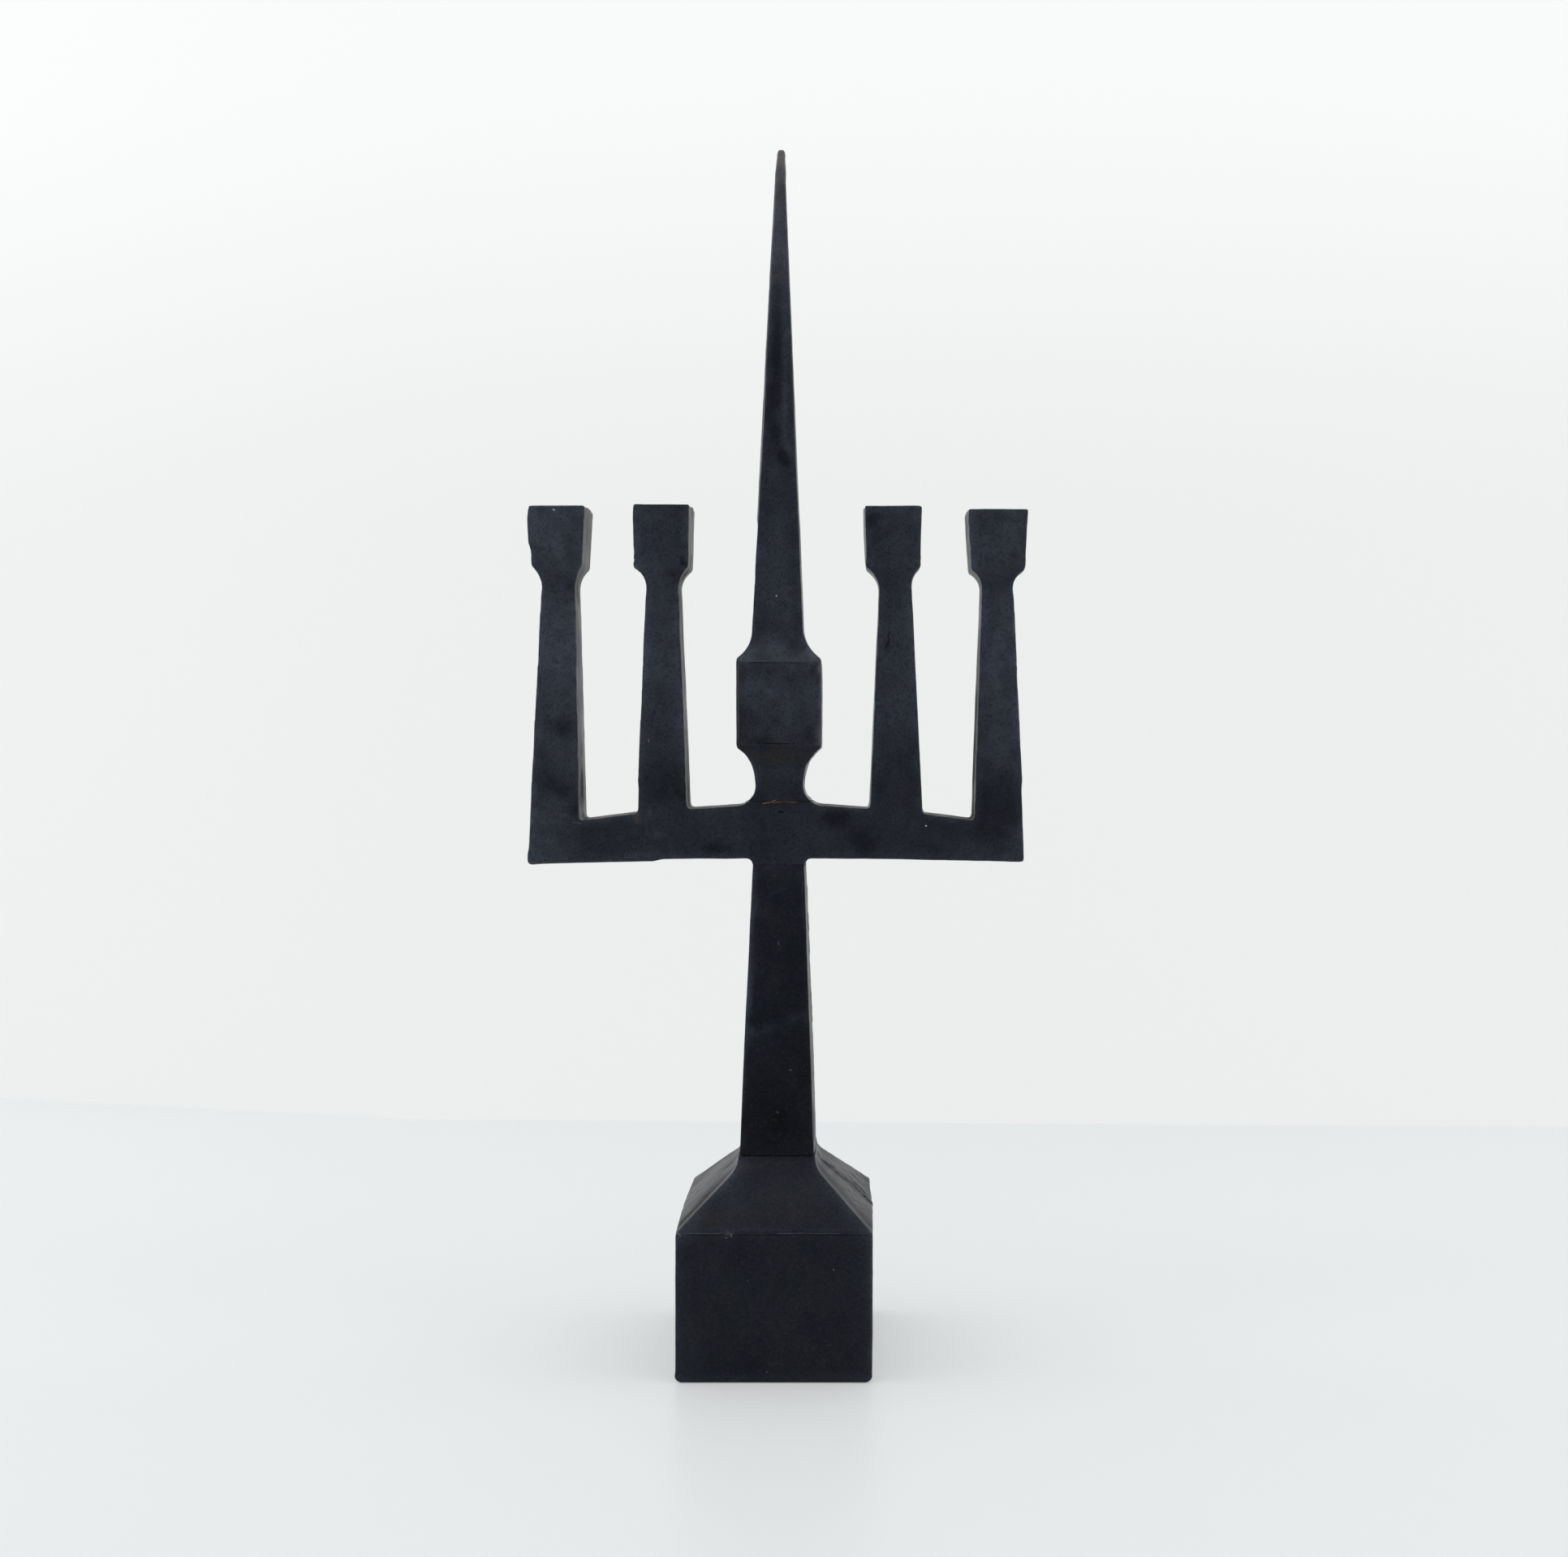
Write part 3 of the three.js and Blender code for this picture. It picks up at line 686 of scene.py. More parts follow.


# Rust, chips, stains, pale specks, and painted highlights and painted shadow lines along edges.
PAINT_STROKES = (
    Stroke((-6.9, 272.9), (-3.6, 273.4), 0.32, RUST),
    Stroke((-3.6, 273.4), (-0.6, 274.6), 0.28, RUST),
    Stroke((-2.6, 273.4), (3, 273.8), 0.2, RUST),
    Stroke((3, 273.8), (9.9, 273.5), 0.18, RUST),
    # Painted shade in a small pit on the bar's front.
    Stroke((1.3, 268.8), (2.8, 268.5), 1.4, SHADE_AND_STAIN),
    # A painted shadow line along the cube's lower front edge.
    Stroke((-9.5, 302.9), (9, 302.6), 0.45, SHADE_AND_STAIN),
    Stroke((-5.5, 302.7), (5, 302.5), 0.65, SHADE_AND_STAIN),
    Stroke((-0.3, 375.7), (-0.3, 375.8), 0.8, BARE),
    Stroke((9.35, 338.4), (9.35, 338.2), 0.6, GREY),
    Stroke((73.7, 261.8), (73.8, 261.8), 0.9, BARE),
    Stroke((-101.3, 263.5), (-96.3, 263.2), 0.25, GREY),
    Stroke((-110.6, 418.3), (-109.9, 418.1), 0.6, BARE),
    Stroke((-105.5, 418), (-105.2, 417.9), 0.45, GREY),
    Stroke((-95.9, 417.9), (-96, 416), 0.4, GREY),
    Stroke((-63.8, 304.6), (-63.5, 303.4), 0.8, GREY),
    # Dark stains on an arm.
    Stroke((55.9, 358.2), (55, 356), 0.7, SHADE_AND_STAIN),
    Stroke((55, 356), (55.6, 353.6), 0.5, SHADE_AND_STAIN),
    Stroke((55.6, 353.6), (53.9, 350), 0.8, SHADE_AND_STAIN),
    # A painted highlight along the cube's top front edge with a painted shadow under it, and another
    # highlight down its left front edge.
    Stroke((-17.8, 343), (-4.8, 343.1), 0.45, HIGHLIGHT_AND_SPECK),
    Stroke((8, 343.1), (14, 343), 0.4, HIGHLIGHT_AND_SPECK),
    Stroke((-13.5, 342.3), (11.5, 342.2), 0.35, SHADE_AND_STAIN),
    Stroke((-18.8, 306), (-18.9, 340.5), 0.4, HIGHLIGHT_AND_SPECK),
    # A painted highlight along the base's top front edge, and a painted shadow line under it.
    Stroke((-41.8, 70.9), (-24.8, 70.9), 0.35, HIGHLIGHT_AND_SPECK),
    Stroke((2, 70.9), (14, 70.95), 0.36, HIGHLIGHT_AND_SPECK),
    Stroke((14, 70.9), (31, 70.85), 0.22, HIGHLIGHT_AND_SPECK),
    Stroke((-41, 70.1), (-24, 70), 0.35, SHADE_AND_STAIN),
    Stroke((-18.6, 70.2), (-10.9, 70.1), 0.5, SHADE_AND_STAIN),
    Stroke((-9.7, 70), (3.5, 70.2), 0.55, SHADE_AND_STAIN),
    Stroke((3.5, 70.2), (18, 70.2), 0.3, SHADE_AND_STAIN),
    Stroke((18, 70.2), (44.8, 70), 0.45, SHADE_AND_STAIN),
    Stroke((-45.4, 70.8), (-44.4, 69.6), 0.9, GREY),
    Stroke((-20.5, 70.6), (-20, 69.3), 0.7, GREY),
    Stroke((-22.8, 69), (-22.4, 68.7), 0.6, GREY),
    # Small pale specks on the stem and the base's front.
    Stroke((6.4, 142.1), (7.2, 141.7), 0.7, HIGHLIGHT_AND_SPECK),
    Stroke((0.2, 121.4), (0.8, 121), 0.7, HIGHLIGHT_AND_SPECK),
    Stroke((0.8, 204.4), (0.9, 203.2), 0.6, HIGHLIGHT_AND_SPECK),
    Stroke((28.3, 54), (28.4, 53.4), 0.7, GREY),
    Stroke((-12.6, 48.6), (-12.4, 48.4), 0.7, HIGHLIGHT_AND_SPECK),
    Stroke((-3.6, 5.4), (-3.2, 5.2), 0.7, HIGHLIGHT_AND_SPECK),
)


@dataclass(frozen=True)
class PaintedIron:
    """Satin blue-black paint over sand-cast iron, with bloom, rubbed edges, small marks, and painted
    light and shade.
    """

    navy: Colour = (0.0060, 0.0062, 0.0136)
    teal: Colour = (0.0038, 0.0080, 0.0125)
    thin_paint: Colour = (0.0125, 0.0135, 0.0200)
    # Paler bloom, which also serves as painted highlights and painted reflections.
    bloom_and_highlight: Colour = (0.0495, 0.0580, 0.0785)
    # Dark stain and specks, which also serve as painted shade.
    stain_and_shade: Colour = (0.0012, 0.0015, 0.0042)
    brown: Colour = (0.0380, 0.0270, 0.0190)
    # Paler grain peaks, partly worn paint and partly a painted highlight on the grain.
    peak_wear_and_highlight: Colour = (0.0450, 0.0490, 0.0570)
    # Grey iron where paint is rubbed off, which also serves as painted highlights.
    rubbed_and_highlight: Colour = (0.1640, 0.1500, 0.1530)
    dust: Colour = (0.0650, 0.0640, 0.0610)
    roughness: float = 0.33
    darkened_roughness: float = 0.4
    specular: float = 0.10
    cloud: tuple[float, float] = (0.78, 1.22)
    speck_share: float = 0.40
    peak_wear_and_highlight_share: float = 0.20
    edge_share: float = 0.25
    strokes: tuple[Stroke, ...] = PAINT_STROKES

    def material(self, effects: SharedEffects) -> Material:
        """Builds the material.

        Args:
            effects: the shared node groups.

        Returns:
            The material.
        """
        material, graph, shader = start_material("painted_iron")
        fine = graph.group(effects.grain, Size_mm=1.3, Pits=0.6)
        coarse = graph.group(effects.grain, Size_mm=3.4, Pits=0.3)
        mottle = graph.ramp(graph.noise(20.0, 6.0), 0.32, 0.70)
        film = graph.group(effects.dust, Amount=0.3).outputs["Film"]
        colour = self._paint_colour(graph, effects, fine, mottle, film)
        graph.feed(shader.inputs["Base Color"], colour)
        uneven = graph.maths("MULTIPLY_ADD", mottle, 0.10, self.roughness - 0.05)
        dusty = graph.maths("MULTIPLY_ADD", film, 0.6, uneven)
        # The paint is rougher where it is darkened, both by stains and by painted shade.
        darkened = graph.clamp(graph.maths("MULTIPLY", graph.attribute("bloom_stain_and_painted_light"), -1.0))
        rough = graph.maths("MULTIPLY_ADD", darkened, self.darkened_roughness, dusty)
        graph.feed(shader.inputs["Roughness"], rough)
        shader.inputs["Specular IOR Level"].default_value = self.specular
        height = graph.maths("MULTIPLY_ADD", coarse.outputs["Height"], 1.5, fine.outputs["Height"])
        graph.bump(shader, height, strength=0.9, depth_mm=0.12)
        return material

    def _paint_colour(
        self, graph: Graph, effects: SharedEffects, fine: Node, mottle: Socket, film: Socket
    ) -> Socket:
        """Mixes the paint and all that lies on it, each layer over the ones before it, with painted
        light and shade among them.

        Args:
            graph: the material's graph.
            effects: the shared node groups.
            fine: the fine grain.
            mottle: broad unevenness of the paint.
            film: where dust settles.

        Returns:
            The colour.
        """
        patchy = graph.maths("MULTIPLY", graph.ramp(graph.noise(3.6, 4.0, 0.9), 0.35, 0.65), 0.35)
        worn_thin = graph.maths("MULTIPLY_ADD", mottle, 0.65, patchy)
        drift = graph.ramp(graph.noise(13.0, 2.0, 0.6), 0.38, 0.62)
        colour = graph.mix(worn_thin, graph.mix(drift, self.navy, self.teal), self.thin_paint)
        least, most = self.cloud
        cloud = graph.ramp(graph.noise(7.0, 5.0, 0.4), 0.3, 0.7)
        cloud = graph.maths("MULTIPLY_ADD", cloud, most - least, least)
        bloom_stain_and_painted_light = graph.maths("MULTIPLY", graph.attribute("bloom_stain_and_painted_light"), cloud)
        specks = graph.ramp(graph.noise(1.2, 4.0, 0.2), 0.52, 0.34)
        # The grain's peaks, which are made paler both as wear and as a painted highlight.
        peaks = graph.ramp(fine.outputs["Height"], 0.50, 0.75)
        edges = graph.group(effects.wear, Reach=0.6, Breakup_mm=5.0).outputs["Rubbed"]
        edges = graph.maths("MULTIPLY", edges, self.edge_share)
        # Worn spots and painted highlights, held by the mesh.
        wear_and_highlight_mask = graph.maths("MULTIPLY", graph.attribute("wear_and_highlight"), cloud)
        ragged = graph.maths("MULTIPLY_ADD", graph.noise(0.9, 2.0, 0.1), 1.6, 0.2)
        layers = [
            # Paler bloom with painted highlights, then stains with painted shade, over the paint.
            (graph.clamp(bloom_stain_and_painted_light), self.bloom_and_highlight),
            (graph.clamp(graph.maths("MULTIPLY", bloom_stain_and_painted_light, -1.0)), self.stain_and_shade),
            (graph.maths("MULTIPLY", graph.attribute("tint"), cloud), self.brown),
            (graph.maths("MULTIPLY", specks, self.speck_share), self.stain_and_shade),
            (graph.maths("MULTIPLY", peaks, self.peak_wear_and_highlight_share), self.peak_wear_and_highlight),
            (film, self.dust),
            (graph.maths("MAXIMUM", edges, wear_and_highlight_mask), self.rubbed_and_highlight),
            *((stroke.mask(graph, effects, ragged), stroke.colour) for stroke in self.strokes),
        ]
        for mask, top in layers:
            colour = graph.mix(mask, colour, top)
        return colour


@dataclass(frozen=True)
class ZincPlate:
    """Zinc plating on a turned or pressed steel fastening, dulled in patches."""

    bright: Colour = (0.52, 0.53, 0.54)
    dull: Colour = (0.36, 0.36, 0.35)

    def material(self, effects: SharedEffects) -> Material:
        """Builds the material.

        Args:
            effects: the shared node groups.

        Returns:
            The material.
        """
        material, graph, shader = start_material("zinc_plate")
        grain = graph.group(effects.grain, Size_mm=0.3, Pits=0.2)
        patches = graph.ramp(graph.noise(5.0, 4.0), 0.35, 0.7)
        graph.feed(shader.inputs["Base Color"], graph.mix(patches, self.bright, self.dull))
        graph.feed(shader.inputs["Roughness"], graph.maths("MULTIPLY_ADD", patches, 0.2, 0.3))
        shader.inputs["Metallic"].default_value = 1.0
        graph.bump(shader, grain.outputs["Height"], strength=0.3, depth_mm=0.02)
        return material


@dataclass(frozen=True)
class WoolFelt:
    """Pressed black wool felt with short fibres that lie every way."""

    fibre: Colour = (0.010, 0.010, 0.011)
    lint: Colour = (0.035, 0.034, 0.034)
    fibre_mm: float = 0.25

    def material(self, effects: SharedEffects) -> Material:
        """Builds the material.

        Args:
            effects: the shared node groups.

        Returns:
            The material.
        """
        material, graph, shader = start_material("wool_felt")
        fibres = graph.group(effects.grain, Size_mm=self.fibre_mm, Pits=0.6)
        lint = graph.ramp(graph.noise(1.2, 6.0), 0.5, 0.75)
        graph.feed(shader.inputs["Base Color"], graph.mix(lint, self.fibre, self.lint))
        shader.inputs["Roughness"].default_value = 1.0
        shader.inputs["Sheen Weight"].default_value = 0.35
        graph.bump(shader, fibres.outputs["Height"], strength=0.8, depth_mm=0.15)
        return material


@dataclass(frozen=True)
class StudioPaper:
    """Smooth pale paper, seen a little paler than the lamps make it, and clear from behind."""

    name: str
    colour: Colour
    roughness: float
    specular: float
    pale_low: Colour
    pale_high: Colour
    share_low: float
    share_high: float
    low: float = 0.45
    high: float = 0.85

    def material(self) -> Material:
        """Builds the material, whose pale share grows with the height above the floor.

        Returns:
            The material.
        """
        material, graph, shader = start_material(self.name)
        shader.inputs["Base Color"].default_value = (*self.colour, 1.0)
        shader.inputs["Roughness"].default_value = self.roughness
        shader.inputs["Specular IOR Level"].default_value = self.specular
        path = graph.add("LightPath")
        seen = graph.maths("MAXIMUM", path.outputs["Is Camera Ray"], path.outputs["Is Glossy Ray"])
        height = graph.add("SeparateXYZ", {0: graph.add("TexCoord").outputs["Object"]}).outputs["Z"]
        rise = graph.ramp(height, self.low, self.high)
        pale = graph.add("Emission", {"Color": graph.mix(rise, self.pale_low, self.pale_high)})
        share = graph.maths("MULTIPLY_ADD", rise, self.share_high - self.share_low, self.share_low)
        both = graph.add("MixShader", {0: graph.maths("MULTIPLY", share, seen)})
        graph.feed(both.inputs[1], shader.outputs["BSDF"])
        graph.feed(both.inputs[2], pale.outputs["Emission"])
        behind = graph.add("NewGeometry").outputs["Backfacing"]
        clear = graph.maths("MULTIPLY", behind, path.outputs["Is Camera Ray"])
        whole = graph.add("MixShader", {0: clear})
        graph.feed(whole.inputs[1], both.outputs[0])
        graph.feed(whole.inputs[2], graph.add("BsdfTransparent").outputs["BSDF"])
        graph.feed(material.node_tree.nodes["Material Output"].inputs["Surface"], whole.outputs[0])
        return material


FLOOR_PAPER = StudioPaper(
    name="floor_paper",
    colour=(0.733, 0.751, 0.763),
    roughness=0.36,
    specular=0.5,
    pale_low=(0.92, 0.94, 0.95),
    pale_high=(0.92, 0.94, 0.95),
    share_low=0.3,
    share_high=0.3,
)
WALL_PAPER = StudioPaper(
    name="wall_paper",
    colour=(0.93, 0.94, 0.94),
    roughness=0.9,
    specular=0.1,
    pale_low=(0.890, 0.904, 0.898),
    pale_high=(0.975, 0.985, 0.980),
    share_low=0.75,
    share_high=0.85,
)


# Castings


@dataclass(frozen=True)
class Seam:
    """A flat joint between two castings, where their edges stay sharp so that no groove opens."""

    height: float
    middle: tuple[float, float]
    reach: tuple[float, float]

    def freedom(self, points: np.ndarray, spread: float) -> np.ndarray:
        """Tells how freely points may move.

        Args:
            points: places, one row each.
            spread: how far from the seam they are free.

        Returns:
            From 0 at the seam to 1 from spread away.
        """
        across = np.abs(points[:, :2] - np.array(self.middle)) - np.array(self.reach)
        beyond = np.maximum(across.max(axis=1), np.abs(points[:, 2] - self.height))
        return np.clip(beyond / spread, 0.0, 1.0)


@dataclass(frozen=True)
class Patch:
    """A soft-edged area round a place, with its reach along each axis, in millimetres.

    Its outline is warped by layers of noise, whose wavelengths are shares of its mean reach.
    """

    WARP = ((43, 0.9, 0.45), (44, 0.35, 0.3))

    at: Place
    reach: Place
    amount: float

    def over(self, points: np.ndarray) -> np.ndarray:
        """Works out the amount at points, which fades to nothing past the reach.

        Args:
            points: places in millimetres, one row each.

        Returns:
            One amount per row.
        """
        distance = np.linalg.norm((points - np.array(self.at)) / np.array(self.reach), axis=1)
        size = float(np.mean(self.reach))
        warp = tuple((seed, wave * size, height) for seed, wave, height in self.WARP)
        distance *= layered(points, warp, start=1.0)
        return self.amount * np.exp(-2 * distance**2)


@dataclass(frozen=True)
class Streak:
    """A ragged band along a line from one place to another, in millimetres."""

    RAGGED = 0.6
    CLUMP = 3

    start: Place
    end: Place
    width: float
    amount: float

    def over(self, points: np.ndarray) -> np.ndarray:
        """Works out the amount at points, which fades to nothing past the width.

        Args:
            points: places in millimetres, one row each.

        Returns:
            One amount per row.
        """
        run = np.array(self.end) - np.array(self.start)
        away = points - np.array(self.start)
        along = np.clip(away @ run / (run @ run), 0.0, 1.0)
        distance = np.linalg.norm(away - along[:, None] * run, axis=1)
        width = self.width * (1 + self.RAGGED * Noise(41).at(points, self.CLUMP * self.width))
        return self.amount * np.exp(-((distance / width) ** 2))


Marks = tuple[Patch | Streak, ...]


def total(marks: Marks, points: np.ndarray) -> np.ndarray:
    """Adds up patches and streaks at points in millimetres."""
    return sum((mark.over(points) for mark in marks), np.zeros(len(points)))


@dataclass(frozen=True)
class Flash:
    """Rough metal left along the parting line on one side of a casting, in millimetres."""

    side: Side
    bottom: float
    top: float
    proud: float
    width: float = 1.4
    clump: float = 5.0
    fade: float = 3.0

    def over(self, points: np.ndarray, normals: np.ndarray) -> np.ndarray:
        """Returns how far points in millimetres move outwards.

        Args:
            points: places on the surface.
            normals: the surface's directions there.

        Returns:
            One height per point, in millimetres.
        """
        facing = np.clip(normals[:, 0] * self.side.value * 2 - 0.2, 0.0, 1.0)
        near = np.exp(-((points[:, 1] / self.width) ** 2))
        to_end = np.minimum(points[:, 2] - self.bottom, self.top - points[:, 2])
        inside = np.clip(to_end / self.fade, 0.0, 1.0)
        noise = Noise(11)
        rough = 0.45 + 0.55 * noise.at(points * np.array([0.3, 0.3, 1.0]), self.clump)
        rough += 0.35 * noise.at(points, self.clump / 3)
        return self.proud * facing * near * inside * rough


@dataclass
class Casting:
    """An iron casting: the CAD shape with rounded edges, a sand-cast skin and its own flaws.

    Blunt holds a stretch's lowest and highest z in millimetres and how often it is rounded. Dents
    are in millimetres outwards. Bloom, stain and painted light makes the paint paler above 0, as a
    bloom and as painted highlights and reflections, and darker below 0, as stains and painted shade.
    Tint is brown. Where wear and highlight is set, the grey iron shows, as wear and as painted
    highlights.
    """

    node: str
    pitch_mm: float
    seams: tuple[Seam, ...]
    rounding: int = 2
    blunt: tuple[float, float, int] = (0.0, 0.0, 0)
    blunt_fade_mm: tuple[float, float] = (20.0, 10.0)
    fold_rounding: int = 0
    fold_width_mm: float = 3.0
    seam_spread_mm: float = 2.0
    chip_depth_mm: float = 0.3
    chip_share: float = 0.25
    edge_paling: float = 0.3
    rim_rounds: int = 16
    rim_gain: float = 3.0
    roughness: Layers = ((1, 60.0, 0.22), (2, 15.0, 0.10), (3, 5.5, 0.045), (4, 2.4, 0.03))
    bites: Layers = ((21, 6.0, 1.0), (22, 2.2, 0.6))
    dents: Marks = ()
    flashes: tuple[Flash, ...] = ()
    bloom_stain_and_painted_light: Marks = ()
    tint: Marks = ()
    wear_and_highlight: Marks = ()

    def build(self, material: Material) -> Object:
        """Makes the piece.

        Args:
            material: the castings' finish.

        Returns:
            The piece, which stands for its CAD node.
        """
        heights = tuple(seam.height for seam in self.seams)
        piece = CadShape(self.node).even_quads(f"{self.node}_casting", self.pitch_mm * MM, heights)
        skin = Skin(piece.data)
        freedom = np.ones(len(skin.points))
        for seam in self.seams:
            freedom = np.minimum(freedom, seam.freedom(skin.points, self.seam_spread_mm * MM))
        self.round_edges(skin, freedom)
        self.roughen(skin, freedom)
        edge = np.clip(skin.convexity(), 0.0, 1.0) * freedom
        # Near convex edges the paint is made paler.
        rim = np.clip(self.rim_gain * skin.spread(edge, self.rim_rounds), 0.0, 1.0) * self.edge_paling
        skin.attribute("edge", edge)
        skin.attribute("bloom_stain_and_painted_light", np.clip(total(self.bloom_stain_and_painted_light, skin.points / MM) + rim, -1.0, 1.0))
        for name, marks in (("tint", self.tint), ("wear_and_highlight", self.wear_and_highlight)):
            skin.attribute(name, np.clip(total(marks, skin.points / MM), 0.0, 1.0))
        skin.store()
        piece.data.set_sharp_from_angle(angle=SEAM_ANGLE)
        piece.data.materials.clear()
        piece.data.materials.append(material)
        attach(piece, ROOT)
        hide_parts(self.node)
        log.info("%s: %d vertices", piece.name, len(piece.data.vertices))
        return piece

    def round_edges(self, skin: Skin, freedom: np.ndarray) -> None:
        """Rounds the edges, more so in the blunt stretch and along the parting line.

        Args:
            skin: the casting's surface.
            freedom: how freely each vertex moves.
        """
        skin.soften(self.rounding, freedom)
        low, high, rounds = self.blunt
        below, above = self.blunt_fade_mm
        height = skin.points[:, 2] / MM
        blunt = np.clip((height - low) / below, 0, 1) * np.clip((high - height) / above, 0, 1)
        skin.soften(rounds, freedom * blunt)
        sideways = np.clip(np.abs(skin.normals()[:, 0]) * 4 - 3, 0, 1)
        fold = np.exp(-((skin.points[:, 1] / (self.fold_width_mm * MM)) ** 2))
        skin.soften(self.fold_rounding, freedom * fold * sideways)

    def roughen(self, skin: Skin, freedom: np.ndarray) -> None:
        """Moves the surface by its unevenness, inside the CAD box and clear of the fastenings.

        Next to a seam it moves level, so that both castings move alike and the seam stays shut.

        Args:
            skin: the casting's surface.
            freedom: 0 at a seam and 1 away from it.
        """
        low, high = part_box(self.node)
        directions = skin.normals() * np.stack([np.ones_like(freedom)] * 2 + [freedom], axis=1)
        directions /= np.maximum(np.linalg.norm(directions, axis=1), 0.5)[:, None]
        amounts = self.unevenness(skin, freedom)
        peak = sum(height for _, _, height in self.roughness)
        amounts -= np.maximum(peak - skin.room(low, high, directions) / MM, 0.0)
        skin.push(np.where(bored(skin.points), 0.0, amounts * MM), directions)
        skin.keep_in(low, high)

    def unevenness(self, skin: Skin, freedom: np.ndarray) -> np.ndarray:
        """Works out how far the sand mould and later knocks moved the surface outwards.

        Args:
            skin: the casting's surface.
            freedom: 0 at a seam, where no edge is chipped, and 1 away from it.

        Returns:
            One distance per vertex, in millimetres.
        """
        points = skin.points / MM
        normals = skin.normals()
        push = total(self.dents, points) + layered(points, self.roughness)
        for flash in self.flashes:
            push += flash.over(points, normals)
        edge = np.clip(skin.convexity() * 1.5 - 0.3, 0.0, 1.0) * freedom
        rough = layered(points, self.bites)
        bitten = np.clip((rough - 1 + 2 * self.chip_share) * 2, 0.0, 1.0)
        return push - edge * bitten * self.chip_depth_mm


def bored(points: np.ndarray) -> np.ndarray:
    """Tells which points line the bores of the tie rod and the dowels, which stay smooth.

    Args:
        points: places on a casting.

    Returns:
        True or False per point.
    """
    inside = np.zeros(len(points), bool)
    for node in BORED:
        low, high = (np.array(corner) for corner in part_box(node))
        inside |= np.all((points > low - MM) & (points < high + MM), axis=1)
    return inside


def contact(lower: str, upper: str) -> Seam:
    """Works out the seam between two stacked nodes from their boxes.

    Args:
        lower: the node below.
        upper: the node that stands on it.

    Returns:
        The seam, at the top of the smaller box.
    """
    boxes = [[np.array(corner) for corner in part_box(name)] for name in (lower, upper)]
    narrow = min(boxes, key=lambda box: np.prod((box[1] - box[0])[:2]))
    height = narrow[1][2] if narrow is boxes[0] else narrow[0][2]
    middle = (narrow[0] + narrow[1])[:2] / 2
    reach = (narrow[1] - narrow[0])[:2] / 2
    return Seam(float(height), tuple(middle), tuple(reach))


# Fastenings and felt


@dataclass
class Fastening:
    """A zinc-plated piece inside the stack, which keeps its CAD shape."""

    node: str

    def dress(self, material: Material) -> Object:
        """Gives the node its finish.

        Args:
            material: zinc plating.

        Returns:
            The CAD node's object.
        """
        piece = frame["nodes"][self.node]
        piece.data.materials.clear()
        piece.data.materials.append(material)
        log.info("%s: dressed", self.node)
        return piece


@dataclass
class FeltPad:
    """The felt under the base: a rounded square with a slightly ragged cut edge."""

    node: str = "base_felt"
    pitch_mm: float = 0.6
    ragged_mm: float = 0.12

    def build(self, material: Material) -> Object:
        """Makes the piece.

        Args:
            material: wool felt.

        Returns:
            The piece, which stands for its CAD node.
        """
        low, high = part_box(self.node)
        piece = CadShape(self.node).even_quads("felt_pad", self.pitch_mm * MM)
        skin = Skin(piece.data)
        upright = np.abs(skin.normals()[:, 2]) < 0.5
        skin.soften(1, np.ones(len(skin.points)))
        ragged = Noise(31).at(skin.points / MM, 2 * self.pitch_mm) * self.ragged_mm * MM
        skin.push(np.where(upright, ragged, 0.0), skin.normals())
        skin.keep_in(low, high)
        skin.store()
        piece.data.materials.clear()
        piece.data.materials.append(material)
        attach(piece, ROOT)
        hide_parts(self.node)
        log.info("%s: %d vertices", piece.name, len(piece.data.vertices))
        return piece


# Studio


@dataclass(frozen=True)
class PhotoCamera:
    """The photograph's camera, which looks level along +Y with its lens shifted."""

    picture: tuple[int, int] = (1932, 1919)
    focal_px: float = 1950.0
    vanishing_px: tuple[float, float] = (1045.0, 890.0)
    place: Place = (0.0352, -0.796, 0.3132)
    sensor_mm: float = 36.0

    def build(self) -> Object:
        """Makes the camera and gives it to the scene.

        Returns:
            The camera.
        """
        width, height = self.picture
        data = bpy.data.cameras.new("photo_camera")
        data.sensor_width = self.sensor_mm
        data.lens = self.focal_px / width * self.sensor_mm
        data.shift_x = (width / 2 - self.vanishing_px[0]) / width
        data.shift_y = (self.vanishing_px[1] - height / 2) / width
        data.clip_start = 0.01
        camera = bpy.data.objects.new("photo_camera", data)
        camera.location = self.place
        camera.rotation_euler = (math.pi / 2, 0.0, 0.0)
        bpy.context.scene.collection.objects.link(camera)
        bpy.context.scene.camera = camera
        return camera


@dataclass(frozen=True)
class SoftBox:
    """A large soft lamp that points at a place."""

    name: str
    place: Place
    aim: Place
    size: tuple[float, float]
    watts: float

    def build(self) -> Object:
        """Makes the lamp.

        Returns:
            The lamp.
        """
        data = bpy.data.lights.new(self.name, "AREA")
        data.shape = "RECTANGLE"
        data.size, data.size_y = self.size
        data.energy = self.watts
        lamp = bpy.data.objects.new(self.name, data)
        lamp.location = self.place
        direction = Vector(self.aim) - Vector(self.place)
        lamp.rotation_euler = direction.to_track_quat("-Z", "Y").to_euler()
        bpy.context.scene.collection.objects.link(lamp)
        return lamp


